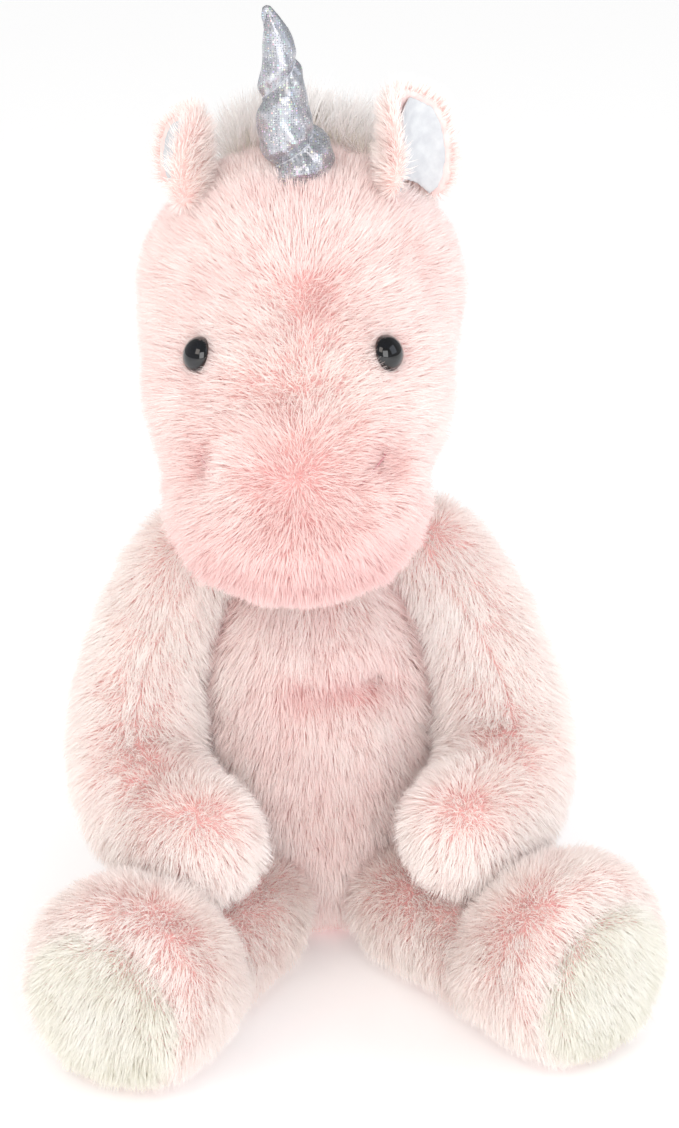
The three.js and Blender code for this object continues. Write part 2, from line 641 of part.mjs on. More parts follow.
// The height of the head's top over a point, seen from above.
function headTop(x, y) {
  let [low, high] = [CHEEKS.z, CRANIUM.z + 2 * CRANIUM.half[2]];
  for (let step = 0; step < 30; step++) {
    const middle = (low + high) / 2;
    const inside = headDistance(new THREE.Vector3(x, y, middle)) < 0;
    [low, high] = inside ? [middle, high] : [low, middle];
  }
  return low;
}

// The rows of an ear, from a foot that follows the head up to the tip. The height is measured behind the
// hollow's face, and the inset draws the outline in.
function earGrid(side, inset, height) {
  const root = headPoint(EAR_LONGITUDE, SIDES[side] * EAR_LATITUDE);
  const turn = SIDES[side] * EAR_TURN_OUT[side] * RAD;
  return range(EAR_ROWS).map((t) => {
    const beyond = Math.max(0, t - EAR_WIDEST) / (1 - EAR_WIDEST);
    const before = Math.max(0, EAR_WIDEST - t) / EAR_WIDEST;
    const half = (EAR_HALF_WIDTH - inset) * Math.sqrt(1 - beyond ** 2) * (1 - EAR_BASE_TAPER * before ** 2);
    return spread(-half, half, EAR_COLUMNS).map((reach) => {
      const angle = reach / EAR_CUP_RADIUS;
      const radius = EAR_CUP_RADIUS + height;
      const point = new THREE.Vector3(radius * Math.sin(angle), radius * Math.cos(angle), 0);
      point.y -= EAR_CUP_RADIUS;
      point.applyAxisAngle(new THREE.Vector3(0, 0, 1), turn).add(root);
      const foot = Math.max(headTop(point.x, point.y) + EAR_LIFT, root.z - EAR_DROP);
      point.z = mix(foot, root.z + EAR_LENGTH[side] - inset, t);
      point.x += SIDES[side] * Math.tan(EAR_LEAN_OUT * RAD) * (point.z - root.z);
      return point;
    });
  });
}

function ear(side) {
  const group = new THREE.Group();
  const grid = (inset, height) => earGrid(side, inset, height);
  const inset = EAR_LINING_INSET;
  const front = -FILL_GAP;
  const back = front - EAR_LINING;
  group.add(
    named(`ear_${side}_plush`, sheetBetween(grid(0, EAR_PLUSH), grid(0, 0)), PINK),
    named(`ear_${side}_lining`, sheetBetween(grid(inset, front), grid(inset, back)), VELOUR),
  );
  return group;
}

// ---------- Horn: a wound cone of silver cloth ----------

function hornRadius(t) {
  const taper = mix(HORN_BASE_RADIUS, HORN_TIP_RADIUS, t);
  const bulge = HORN_BULGE * Math.abs(Math.sin(t * HORN_TURNS * Math.PI)) * (1 - t / 2);
  return taper + bulge;
}

// Rings from the foot to the tip, set in from the outer cloth, and then the point.
function hornRows(inset) {
  const rows = range(HORN_RINGS).map((t) => {
    const radius = hornRadius(t) - inset;
    return spread(0, 360, HORN_SEGMENTS).map((a) => new THREE.Vector3(
      radius * Math.cos(a * RAD), radius * Math.sin(a * RAD), t * (HORN_LENGTH - HORN_TIP_RADIUS)));
  });
  rows.push(rows[0].map(() => new THREE.Vector3(0, 0, HORN_LENGTH - inset)));
  return rows;
}

function hornThread() {
  const points = range(HORN_TURNS * 8).map((t) => {
    const rise = mix(HORN_THREAD_FROM, HORN_THREAD_TO, t);
    const radius = hornRadius(rise) + HORN_THREAD_RADIUS + HORN_THREAD_LIFT;
    const angle = -t * HORN_TURNS * 2 * Math.PI;
    return new THREE.Vector3(radius * Math.cos(angle), radius * Math.sin(angle),
      rise * (HORN_LENGTH - HORN_TIP_RADIUS));
  });
  return named('horn_thread', threadAlong(points, HORN_THREAD_RADIUS, HORN_TURNS * 14), THREAD);
}

function horn() {
  const group = new THREE.Group();
  group.position.copy(headPoint(HORN_LONGITUDE, 0)).add(new THREE.Vector3(0, 0, HORN_LIFT));
  group.rotation.set(HORN_TILT_FORWARD * RAD, HORN_TILT_SIDE * RAD, 0);
  const fill = hornRows(HORN_WALL + GAP);
  const foot = fill[0].map(() => new THREE.Vector3(0, 0, 0));
  group.add(
    named('horn_cover', sheetBetween(hornRows(0), hornRows(HORN_WALL), true), SILVER),
    named('horn_stuffing', solidFromRows([foot, ...fill]), FIBREFILL),
    hornThread(),
  );
  return group;
}

// ---------- Neck: a lens of stuffing, round about the point that the head tips on ----------

// The distance from the pivot to the nearest point of the head's surface.
function neckReach() {
  const pivot = new THREE.Vector3(0, 0, NECK_PIVOT_Z);
  const points = headGrid(spread(0, 360, HEAD_SEGMENTS * 2), spread(-60, 60, 12), 0).flat();
  return Math.min(...points.map((point) => point.distanceTo(pivot)));
}

function neckStuffing() {
  const dome = neckReach() - 2 * GAP;
  const rim = Math.asin(NECK_HALF_WIDTH / dome) / RAD;
  const ring = (polar) => spread(0, 360, LIMB_SEGMENTS).map((a) => (
    new THREE.Vector3().setFromSphericalCoords(dome, polar * RAD, a * RAD)
      .applyAxisAngle(new THREE.Vector3(1, 0, 0), Math.PI / 2)));
  const rows = spread(0, rim, CAP_ROWS).map(ring);
  const foot = TORSO_HEIGHT - NECK_PIVOT_Z + GAP;
  rows.push(rows.at(-1).map((p) => new THREE.Vector3(p.x, p.y, foot)));
  rows.push(rows[0].map(() => new THREE.Vector3(0, 0, foot)));
  return named('neck_stuffing', solidFromRows(rows), FIBREFILL);
}

// ---------- The whole toy ----------

function head() {
  const group = new THREE.Group();
  group.add(
    headStrip('head_crown_panel', CROWN_STEPS[0], CROWN_STEPS[1], PINK),
    headStrip('chin_panel', CROWN_STEPS[1], HEAD_SEGMENTS + CROWN_STEPS[0], VELOUR),
    headStuffing(),
    mane(),
    horn(),
  );
  for (const side of Object.keys(SIDES)) {
    group.add(headSide(side), eye(side), eyeWasher(side), muzzleStitch(side), ear(side));
  }
  group.position.z = -NECK_PIVOT_Z;
  const turned = new THREE.Group();
  turned.add(group);
  turned.rotation.set(0, HEAD_ROLL * RAD, HEAD_TURN * RAD, 'ZYX');
  return turned;
}

function neckAndHead() {
  const group = new THREE.Group();
  group.position.set(torsoAxis(NECK_PIVOT_Z).x, 0, NECK_PIVOT_Z);
  group.add(neckStuffing(), head());
  return group;
}

const unicorn = new THREE.Group();
unicorn.name = 'plush_unicorn';
unicorn.add(torso(), neckAndHead(), tail());
for (const side of Object.keys(SIDES)) unicorn.add(arm(side), leg(side));

export default unicorn;
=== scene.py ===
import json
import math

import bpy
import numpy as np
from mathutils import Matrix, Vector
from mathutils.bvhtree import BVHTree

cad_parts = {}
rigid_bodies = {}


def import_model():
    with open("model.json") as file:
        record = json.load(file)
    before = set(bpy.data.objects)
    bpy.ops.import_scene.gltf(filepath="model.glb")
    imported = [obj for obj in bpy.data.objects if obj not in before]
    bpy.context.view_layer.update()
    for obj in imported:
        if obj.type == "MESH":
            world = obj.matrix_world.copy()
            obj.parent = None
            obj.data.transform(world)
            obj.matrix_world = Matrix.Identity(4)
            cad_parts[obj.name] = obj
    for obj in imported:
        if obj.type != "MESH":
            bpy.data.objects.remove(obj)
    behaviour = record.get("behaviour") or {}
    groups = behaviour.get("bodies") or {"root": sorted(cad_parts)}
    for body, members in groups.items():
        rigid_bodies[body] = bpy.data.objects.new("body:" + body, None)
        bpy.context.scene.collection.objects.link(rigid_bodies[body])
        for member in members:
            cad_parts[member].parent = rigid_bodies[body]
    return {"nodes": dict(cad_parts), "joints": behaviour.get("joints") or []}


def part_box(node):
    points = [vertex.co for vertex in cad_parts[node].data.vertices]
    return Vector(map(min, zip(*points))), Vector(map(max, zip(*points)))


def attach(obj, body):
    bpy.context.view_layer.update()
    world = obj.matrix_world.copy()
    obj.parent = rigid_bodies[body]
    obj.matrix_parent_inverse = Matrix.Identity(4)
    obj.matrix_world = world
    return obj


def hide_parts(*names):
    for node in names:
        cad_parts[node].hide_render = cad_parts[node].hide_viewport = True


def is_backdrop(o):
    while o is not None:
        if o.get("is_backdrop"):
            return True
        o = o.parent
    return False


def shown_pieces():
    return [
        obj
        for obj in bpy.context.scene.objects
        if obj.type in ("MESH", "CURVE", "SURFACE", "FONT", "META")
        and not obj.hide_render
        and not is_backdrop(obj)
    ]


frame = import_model()
# %% [markdown]
# # A seated plush unicorn
# The toy is cut from long plush, stuffed, and sewn together from a body, a head,
# two arms, two legs, two ears, a mane and a tail. A wound cone of silver cloth is
# its horn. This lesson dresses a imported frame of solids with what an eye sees:
# a stuffed skin under each part, and real pile standing on the skin.
#
# The frame is in metres. The toy faces -Y, up is +Z, and its own left is +X.

MM = 0.001
SEED = 7
NODES = frame["nodes"]
JOINTS = {joint["name"]: joint for joint in frame["joints"]}
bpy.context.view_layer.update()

# %% [markdown]
# ## Colours
# Cloth colours are read off swatches as hex values, which are sRGB. Blender's
# shaders work in linear light, so one function converts them all.

# %% Hex to linear light
def linear(hex_colour):
    """(r, g, b, 1) in linear light for an sRGB hex colour."""
    made = []
    for at in (1, 3, 5):
        value = int(hex_colour[at:at + 2], 16) / 255
        made.append(value / 12.92 if value <= 0.04045 else ((value + 0.055) / 1.055) ** 2.4)
    return (*made, 1.0)


print("plush tip", [round(v, 3) for v in linear("#fbe2de")])

# %% [markdown]
# ## A small language for node trees
# Both the shaders and the pile are node trees. One function adds a node, sets its
# options and fills its sockets, so a tree reads as a list of steps.

# %% One function that adds a node
def add(tree, kind, sockets=None, **settings):
    """A new node with its settings set and its sockets linked or filled."""
    made = tree.nodes.new(kind)
    for name, value in settings.items():
        setattr(made, name, value)
    for key, value in (sockets or {}).items():
        if isinstance(value, bpy.types.NodeSocket):
            tree.links.new(value, made.inputs[key])
        else:
            made.inputs[key].default_value = value
    return made


def maths(tree, operation, first, second=0.0, clamp=False):
    """The result of one sum on two numbers or sockets."""
    return add(tree, "ShaderNodeMath", {0: first, 1: second}, operation=operation, use_clamp=clamp).outputs[0]


def vectors(tree, operation, first, second=(0.0, 0.0, 0.0)):
    """The result of one sum on two vectors or sockets."""
    made = add(tree, "ShaderNodeVectorMath", {0: first, 1: second}, operation=operation)
    return made.outputs["Value" if operation in ("LENGTH", "DOT_PRODUCT", "DISTANCE") else "Vector"]


def scaled(tree, vector, factor):
    """A vector times a number."""
    return add(tree, "ShaderNodeVectorMath", {0: vector, "Scale": factor}, operation="SCALE").outputs[0]


def ramp(tree, factor, stops):
    """A colour ramp through (position, hex colour) stops."""
    made = add(tree, "ShaderNodeValToRGB", {0: factor})
    elements = made.color_ramp.elements
    while len(elements) < len(stops):
        elements.new(0.5)
    for element, (position, colour) in zip(elements, stops):
        element.position = position
        element.color = linear(colour)
    return made.outputs["Color"]


def surface(name, **values):
    """A material with a Principled surface, its tree and its shader node."""
    material = bpy.data.materials.new(name)
    material.use_nodes = True
    tree = material.node_tree
    shader = tree.nodes["Principled BSDF"]
    for key, value in values.items():
        shader.inputs[key.replace("_", " ")].default_value = value
    return material, tree, shader


print("helpers ready")

# %% [markdown]
# ## The plush
# Plush is a knitted backing with a cut pile. A fibre is darkest and most saturated
# at its root, where light has passed many fibres, and almost white at its tip; that
# darkening is painted shade. So the colour is looked up from two numbers that every
# fibre carries: how far along it a point is, and the fibre's tint, from a parted,
# rosy place to a full, pale one. The tint holds random tone and also painted shade,
# lower in creases, along seams, under the jaw and where parts lie close. A dull
# roughness and a little sheen stand for the fine fibres that are too small to model.

# %% Plush materials
def plush(name, roots, tips, roughness=0.85, sheen=0.25):
    """Pile whose colour runs from roots to tips, each a ramp over the fibre's tint."""
    material, tree, shader = surface(name, Roughness=roughness, Sheen_Weight=sheen, Sheen_Roughness=0.5,
                                     IOR=1.5, Specular_IOR_Level=0.2)
    tint = add(tree, "ShaderNodeAttribute", attribute_name="tint").outputs["Fac"]
    along = add(tree, "ShaderNodeAttribute", attribute_name="along").outputs["Fac"]
    # Darker, rosier roots are painted shade among the fibres.
    blend = add(tree, "ShaderNodeMapRange", {"Value": along, "From Min": 0.0, "From Max": 0.48},
                interpolation_type="SMOOTHSTEP").outputs[0]
    deep, pale = ramp(tree, tint, roots), ramp(tree, tint, tips)
    mixed = add(tree, "ShaderNodeMix", {"Factor": blend, 6: deep, 7: pale}, data_type="RGBA")
    tree.links.new(mixed.outputs[2], shader.inputs["Base Color"])
    return material


PINK = plush("pink plush pile",
             [(0.0, "#d49a9c"), (0.35, "#e9c4c1"), (0.7, "#f8e1dd"), (1.0, "#fdeeea")],
             [(0.0, "#f0cecc"), (0.35, "#f9e1de"), (0.7, "#fdf0ed"), (1.0, "#fffaf7")])
WHITE = plush("white plush pile",
              [(0.0, "#c4c0ac"), (0.4, "#e2dfd3"), (1.0, "#f3f1ea")],
              [(0.0, "#e0ddcf"), (0.4, "#f4f2ea"), (1.0, "#fdfcf9")])
GREY = plush("undyed mane pile",
             [(0.0, "#eadfd4"), (0.5, "#f9f2ea"), (1.0, "#fffbf6")],
             [(0.0, "#d6d0cf"), (0.5, "#efebe9"), (1.0, "#fefcfb")])


def backing(name, pale, deep):
    """The knitted backing the pile stands on: fine loops under a soft mottle."""
    material, tree, shader = surface(name, Roughness=0.95, IOR=1.5, Specular_IOR_Level=0.1)
    place = add(tree, "ShaderNodeTexCoord").outputs["Object"]
    mottle = add(tree, "ShaderNodeTexNoise", {"Vector": place, "Scale": 220.0, "Detail": 3.0}).outputs[0]
    tree.links.new(ramp(tree, mottle, [(0.3, deep), (0.7, pale)]), shader.inputs["Base Color"])
    loops = add(tree, "ShaderNodeTexVoronoi", {"Vector": place, "Scale": 900.0}).outputs["Distance"]
    bump = add(tree, "ShaderNodeBump", {"Height": loops, "Strength": 0.3, "Distance": 0.3 * MM})
    tree.links.new(bump.outputs[0], shader.inputs["Normal"])
    return material


PINK_BACKING = backing("pink plush backing", "#f0cbc8", "#e3b0b0")
WHITE_BACKING = backing("white plush backing", "#eeebe2", "#d8d3c6")
print("plush materials", len(bpy.data.materials))

# %% [markdown]
# ## Stuffed skins
# Each stuffed part is a bag: its panels, sewn together, round the filling. The
# frame has those panels apart. Their shapes are merged, remeshed to an even net of
# small squares, and smoothed, because cloth has no facets.

# %% Reading solids and writing meshes
def solid_soup(names):
    """Corners and triangles of several solids of the frame, as arrays."""
    corners, faces, start = [], [], 0
    for name in names:
        mesh = NODES[name].data
        points = np.empty(len(mesh.vertices) * 3)
        mesh.vertices.foreach_get("co", points)
        mesh.calc_loop_triangles()
        triangles = np.empty(len(mesh.loop_triangles) * 3, int)
        mesh.loop_triangles.foreach_get("vertices", triangles)
        corners.append(points.reshape(-1, 3))
        faces.append(triangles.reshape(-1, 3) + start)
        start += len(points) // 3
    return np.concatenate(corners), np.concatenate(faces)


def ball(centre, radii, rows=16, columns=24):
    """Corners and faces of an ellipsoid, closed at its poles."""
    corners = [(0, 0, 1)]
    for row in range(1, rows):
        polar = math.pi * row / rows
        for column in range(columns):
            turn = 2 * math.pi * column / columns
            reach = math.sin(polar)
            corners.append((reach * math.cos(turn), reach * math.sin(turn), math.cos(polar)))
    corners.append((0, 0, -1))
    last = len(corners) - 1
    faces = []
    for column in range(columns):
        after = (column + 1) % columns
        faces.append((0, 1 + column, 1 + after))
        for row in range(rows - 2):
            low, high = 1 + row * columns, 1 + (row + 1) * columns
            faces.append((low + column, high + column, high + after))
            faces.append((low + column, high + after, low + after))
        foot = 1 + (rows - 2) * columns
        faces.append((last, foot + after, foot + column))
    return np.array(corners) * np.array(radii) + np.array(centre), np.array(faces)


def ring(centre, first, second, radius, columns):
    """Corners round a circle, from the first direction towards the second."""
    turns = [2 * math.pi * column / columns for column in range(columns)]
    return [centre + (first * math.cos(turn) + second * math.sin(turn)) * radius for turn in turns]


def ring_faces(rows, columns):
    """The four-sided faces between each ring of corners and the next."""
    faces = []
    for row in range(rows):
        for column in range(columns):
            after = (column + 1) % columns
            low, high = row * columns, (row + 1) * columns
            faces.append((low + column, low + after, high + after, high + column))
    return faces


def new_object(name, corners, faces, material=None, smooth=True):
    """An object at the origin with the given mesh."""
    mesh = bpy.data.meshes.new(name)
    mesh.from_pydata(np.asarray(corners).tolist(), [], [tuple(int(i) for i in face) for face in faces])
    mesh.validate()
    made = bpy.data.objects.new(name, mesh)
    bpy.context.scene.collection.objects.link(made)
    if material:
        mesh.materials.append(material)
    if smooth:
        mesh.shade_smooth()
    return made


def freeze(piece):
    """Makes what the modifiers show the piece's own mesh, and removes them."""
    bpy.context.view_layer.update()
    seen = piece.evaluated_get(bpy.context.evaluated_depsgraph_get())
    mesh = bpy.data.meshes.new_from_object(seen)
    old = piece.data
    piece.modifiers.clear()
    piece.data = mesh
    bpy.data.meshes.remove(old)
    mesh.name = piece.name
    return piece


def points_of(piece):
    """Corner positions of a piece as an array."""
    made = np.empty(len(piece.data.vertices) * 3)
    piece.data.vertices.foreach_get("co", made)
    return made.reshape(-1, 3)


def normals_of(piece):
    """Smooth outward directions at the corners."""
    made = np.empty(len(piece.data.vertices) * 3)
    piece.data.vertices.foreach_get("normal", made)
    return made.reshape(-1, 3)


def move_points(piece, points):
    """Puts the corners where the array says."""
    piece.data.vertices.foreach_set("co", np.asarray(points, float).ravel())
    piece.data.update()


def smooth_points(piece, rounds, share=0.5):
    """Moves each corner towards the middle of its neighbours, round by round."""
    edges = np.empty(len(piece.data.edges) * 2, int)
    piece.data.edges.foreach_get("vertices", edges)
    ends = edges.reshape(-1, 2)
    points = points_of(piece)
    count = np.bincount(ends.ravel(), minlength=len(points)).reshape(-1, 1)
    for _ in range(rounds):
        total = np.zeros_like(points)
        np.add.at(total, ends[:, 0], points[ends[:, 1]])
        np.add.at(total, ends[:, 1], points[ends[:, 0]])
        points += (total / count - points) * share
    move_points(piece, points)


def largest_shell(piece):
    """Drops any shell but the largest, such as an inner wall left by the remesh."""
    edges = np.empty(len(piece.data.edges) * 2, int)
    piece.data.edges.foreach_get("vertices", edges)
    ends = edges.reshape(-1, 2)
    label = np.arange(len(piece.data.vertices))
    while True:
        low = np.minimum(label[ends[:, 0]], label[ends[:, 1]])
        before = label.copy()
        np.minimum.at(label, ends[:, 0], low)
        np.minimum.at(label, ends[:, 1], low)
        label = label[label]
        if (label == before).all():
            break
    values, counts = np.unique(label, return_counts=True)
    kept = label == values[counts.argmax()]
    if kept.all():
        return
    number = np.cumsum(kept) - 1
    faces = [tuple(number[list(f.vertices)]) for f in piece.data.polygons if kept[f.vertices[0]]]
    corners = points_of(piece)[kept]
    old = piece.data
    mesh = bpy.data.meshes.new(piece.name)
    mesh.from_pydata(corners.tolist(), [], [tuple(int(i) for i in f) for f in faces])
    piece.data = mesh
    bpy.data.meshes.remove(old)


def bag(name, solids, extra=(), voxel=3.5 * MM, rounds=5):
    """One closed, even, smooth skin round some solids and some extra balls."""
    corners, faces = solid_soup(solids)
    for more, more_faces in extra:
        faces = np.concatenate([faces, more_faces + len(corners)])
        corners = np.concatenate([corners, more])
    piece = new_object(name, corners, faces)
    remesh = piece.modifiers.new("Remesh", "REMESH")
    remesh.mode = "VOXEL"
    remesh.voxel_size = voxel
    freeze(piece)
    largest_shell(piece)
    smooth_points(piece, rounds)
    return piece


print("mesh helpers ready")

# %% [markdown]
# ## Filling the bags
# Stuffing pushes the cloth out everywhere but along the seams, where thread holds
# it. Blender's cloth does the same: air pressure inside, the seams pinned, no
# gravity. A cap on how far a point may move keeps the toy inside its pattern.

# %% Seams and stuffing
def seam_field(piece, panels, width):
    """How close each corner is to a seam, 0 to 1, and the way out from that seam."""
    points = points_of(piece)
    trees = []
    for panel in panels:
        corners, faces = solid_soup([panel])
        trees.append(BVHTree.FromPolygons(corners.tolist(), faces.tolist()))
    gaps = np.zeros((len(points), len(trees)))
    nearest = np.zeros((len(points), len(trees), 3))
    for at, tree in enumerate(trees):
        for i, point in enumerate(points):
            where, _, _, gap = tree.find_nearest(point.tolist())
            gaps[i, at] = gap
            nearest[i, at] = where
    order = np.argsort(gaps, axis=1)
    rows = np.arange(len(points))
    if len(trees) == 1:
        return np.zeros(len(points)), np.zeros((len(points), 3)), order[:, 0]
    second = order[:, 1]
    margin = gaps[rows, second] - gaps[rows, order[:, 0]]
    close = np.exp(-(margin / width) ** 2)
    away = points - nearest[rows, second]
    away /= np.maximum(np.linalg.norm(away, axis=1, keepdims=True), 1e-9)
    return close, away, order[:, 0]


def stuff(piece, held, cap, pressure=4.0, last=14):
    """Blows the skin up as cloth, with the held corners pinned, and keeps what it made."""
    start = points_of(piece)
    group = piece.vertex_groups.new(name="held")
    for i, share in enumerate(held):
        if share > 0.05:
            group.add([i], float(min(1.0, share)), "REPLACE")
    cloth = piece.modifiers.new("Cloth", "CLOTH")
    settings = cloth.settings
    settings.quality = 4
    settings.mass = 0.15
    settings.tension_stiffness = 12
    settings.compression_stiffness = 8
    settings.bending_stiffness = 1.5
    settings.use_pressure = True
    settings.uniform_pressure_force = pressure
    settings.effector_weights.gravity = 0
    settings.vertex_group_mass = "held"
    scene = bpy.context.scene
    for number in range(1, last + 1):
        scene.frame_set(number)
    seen = piece.evaluated_get(bpy.context.evaluated_depsgraph_get())
    blown = np.empty(len(seen.data.vertices) * 3)
    seen.data.vertices.foreach_get("co", blown)
    piece.modifiers.clear()
    piece.vertex_groups.clear()
    scene.frame_set(1)
    shift = blown.reshape(-1, 3) - start
    size = np.linalg.norm(shift, axis=1, keepdims=True)
    shift *= np.minimum(1.0, cap / np.maximum(size, 1e-9))
    move_points(piece, start + shift)
    print(piece.name, "stuffed, moved", round(float(size.max()) / MM, 1), "mm before the cap")


def refine(piece):
    """One level of subdivision, kept in the mesh."""
    level = piece.modifiers.new("Subdivision", "SUBSURF")
    level.levels = 1
    level.render_levels = 1
    freeze(piece)
    piece.data.shade_smooth()


def dent(piece, spots):
    """Pushes the skin in at (place, radius, depth) spots: sockets, pinches, creases."""
    points = points_of(piece)
    normals = normals_of(piece)
    push = np.zeros(len(points))
    for place, radius, depth in spots:
        gap = np.linalg.norm(points - np.array(place), axis=1)
        push += depth * np.exp(-(gap / radius) ** 2)
    move_points(piece, points - normals * push[:, None])


print("stuffing helpers ready")

# %% [markdown]
# ## The pile
# Pile could be a particle system, or curves, but a toy that will be exported needs
# it as mesh. A Geometry Nodes tree grows it: roots scattered over the skin, a thin
# tapering blade for each, bent along the nap, drawn into tufts, and realised as
# triangles. Fields on the skin's corners say which way the nap lies ("comb"), how
# long it is ("pile"), how densely it grows ("cover") and how rosy it is ("tint");
# the tint also carries painted shade in creases, along seams and where parts lie close.

# %% The tree that grows pile
PILE_INPUTS = [
    ("Density", "NodeSocketFloat"),
    ("Width", "NodeSocketFloat"),
    ("Frizz", "NodeSocketFloat"),
    ("Swirl", "NodeSocketFloat"),
    ("Swirl Scale", "NodeSocketFloat"),
    ("Tuft Gap", "NodeSocketFloat"),
    ("Tuft Pull", "NodeSocketFloat"),
    ("Tuft Lean", "NodeSocketFloat"),
    ("Droop", "NodeSocketFloat"),
    ("Mottle", "NodeSocketFloat"),
    ("Segments", "NodeSocketInt"),
    ("Seed", "NodeSocketInt"),
    ("Material", "NodeSocketMaterial"),
]
FLOOR_GAP = 0.3 * MM


def blade(tree, given):
    """A flat blade one unit long, with its place across and along kept on it."""
    rows = maths(tree, "ADD", given["Segments"], 1)
    grid = add(tree, "GeometryNodeMeshGrid",
               {"Size X": 1.0, "Size Y": 1.0, "Vertices X": 2, "Vertices Y": rows})
    place = add(tree, "GeometryNodeInputPosition").outputs[0]
    parts = add(tree, "ShaderNodeSeparateXYZ", {0: place})
    along = maths(tree, "ADD", parts.outputs["Y"], 0.5)
    open_end = maths(tree, "LESS_THAN", along, 0.999)
    across = maths(tree, "MULTIPLY", parts.outputs["X"], open_end)
    shaped = add(tree, "ShaderNodeCombineXYZ", {"X": across, "Y": along})
    moved = add(tree, "GeometryNodeSetPosition",
                {"Geometry": grid.outputs["Mesh"], "Position": shaped.outputs[0]})
    merged = add(tree, "GeometryNodeMergeByDistance", {"Geometry": moved.outputs[0], "Distance": 0.001})
    again = add(tree, "ShaderNodeSeparateXYZ", {0: add(tree, "GeometryNodeInputPosition").outputs[0]})
    kept = keep(tree, merged.outputs[0], "across", again.outputs["X"])
    return keep(tree, kept, "along", again.outputs["Y"])


def keep(tree, geometry, name, value, kind="FLOAT", domain="POINT"):
    """The geometry with a value stored on it under a name."""
    made = add(tree, "GeometryNodeStoreNamedAttribute", {"Geometry": geometry, "Name": name},
               data_type=kind, domain=domain)
    tree.links.new(value, made.inputs["Value"])
    return made.outputs[0]


def read(tree, name, kind="FLOAT"):
    """A named field."""
    made = add(tree, "GeometryNodeInputNamedAttribute", {"Name": name}, data_type=kind)
    return made.outputs["Attribute"]


def random_vector(tree, seed, reach, which=None):
    """A random vector, each part between -reach and reach, by point or by the given number."""
    made = add(tree, "FunctionNodeRandomValue",
               {"Min": (-1.0, -1.0, -1.0), "Max": (1.0, 1.0, 1.0), "Seed": seed}, data_type="FLOAT_VECTOR")
    if which is not None:
        tree.links.new(which, made.inputs["ID"])
    return scaled(tree, made.outputs[0], reach)


def random_number(tree, seed, low, high, which=None):
    """A random number, by point or by the given number."""
    made = add(tree, "FunctionNodeRandomValue", data_type="FLOAT")
    made.inputs[2].default_value = low
    made.inputs[3].default_value = high
    tree.links.new(seed, made.inputs["Seed"])
    if which is not None:
        tree.links.new(which, made.inputs["ID"])
    return made.outputs[1]


def seed_plus(tree, given, offset):
    """Another seed, a fixed step from the given one."""
    return maths(tree, "ADD", given["Seed"], offset)


def pile_sockets(tree):
    """Gives the tree its named inputs and its output, and returns the inputs."""
    tree.interface.new_socket("Geometry", in_out="INPUT", socket_type="NodeSocketGeometry")
    for name, kind in PILE_INPUTS:
        tree.interface.new_socket(name, in_out="INPUT", socket_type=kind)
    tree.interface.new_socket("Geometry", in_out="OUTPUT", socket_type="NodeSocketGeometry")
    return add(tree, "NodeGroupInput").outputs


def scattered(tree, given, place):
    """Roots all over the skin, and the number and place of the tuft nearest to each."""
    skin = given["Geometry"]
    wanted = maths(tree, "MULTIPLY", given["Density"], read(tree, "cover"))
    roots = add(tree, "GeometryNodeDistributePointsOnFaces",
                {"Mesh": skin, "Density": wanted, "Seed": given["Seed"]})
    tufts = add(tree, "GeometryNodeDistributePointsOnFaces",
                {"Mesh": skin, "Distance Min": given["Tuft Gap"], "Density Max": 200000.0,
                 "Seed": seed_plus(tree, given, 1)}, distribute_method="POISSON").outputs["Points"]
    nearest = add(tree, "GeometryNodeSampleNearest", {"Geometry": tufts, "Sample Position": place},
                  domain="POINT").outputs[0]
    middle = add(tree, "GeometryNodeSampleIndex", {"Geometry": tufts, "Value": place, "Index": nearest},
                 data_type="FLOAT_VECTOR", domain="POINT").outputs[0]
    return roots.outputs["Points"], nearest, middle


def growth_of(tree, given, place, nearest, middle):
    """How a blade grows: its straight path, its bend and its width, as vectors."""
    up = vectors(tree, "NORMALIZE", read(tree, "up", "FLOAT_VECTOR"))
    swirl = add(tree, "ShaderNodeTexNoise", {"Vector": place, "Scale": given["Swirl Scale"], "Detail": 1.0})
    turned = scaled(tree, vectors(tree, "SUBTRACT", swirl.outputs["Color"], (0.5, 0.5, 0.5)),
                    maths(tree, "MULTIPLY", given["Swirl"], 2.0))
    nap = vectors(tree, "ADD", read(tree, "comb", "FLOAT_VECTOR"), turned)
    lean = random_vector(tree, seed_plus(tree, given, 2), given["Tuft Lean"], nearest)
    fray = random_vector(tree, seed_plus(tree, given, 3), given["Frizz"])
    aim = vectors(tree, "NORMALIZE", vectors(tree, "ADD", vectors(tree, "ADD", up, scaled(tree, nap, 0.45)),
                                             vectors(tree, "ADD", lean, fray)))
    length = maths(tree, "MULTIPLY", read(tree, "pile"),
                   maths(tree, "MULTIPLY", random_number(tree, seed_plus(tree, given, 4), 0.72, 1.08),
                         random_number(tree, seed_plus(tree, given, 5), 0.85, 1.12, nearest)))
    drawn = scaled(tree, vectors(tree, "SUBTRACT", middle, place), given["Tuft Pull"])
    fall = add(tree, "ShaderNodeCombineXYZ", {"Z": maths(tree, "MULTIPLY", given["Droop"], -1.0)}).outputs[0]
    curl = scaled(tree, vectors(tree, "ADD", scaled(tree, nap, 0.4), fall), length)
    side = vectors(tree, "NORMALIZE", vectors(tree, "CROSS_PRODUCT", aim, vectors(
        tree, "ADD", up, random_vector(tree, seed_plus(tree, given, 6), 0.45))))
    return scaled(tree, aim, length), vectors(tree, "ADD", drawn, curl), scaled(tree, side, given["Width"])


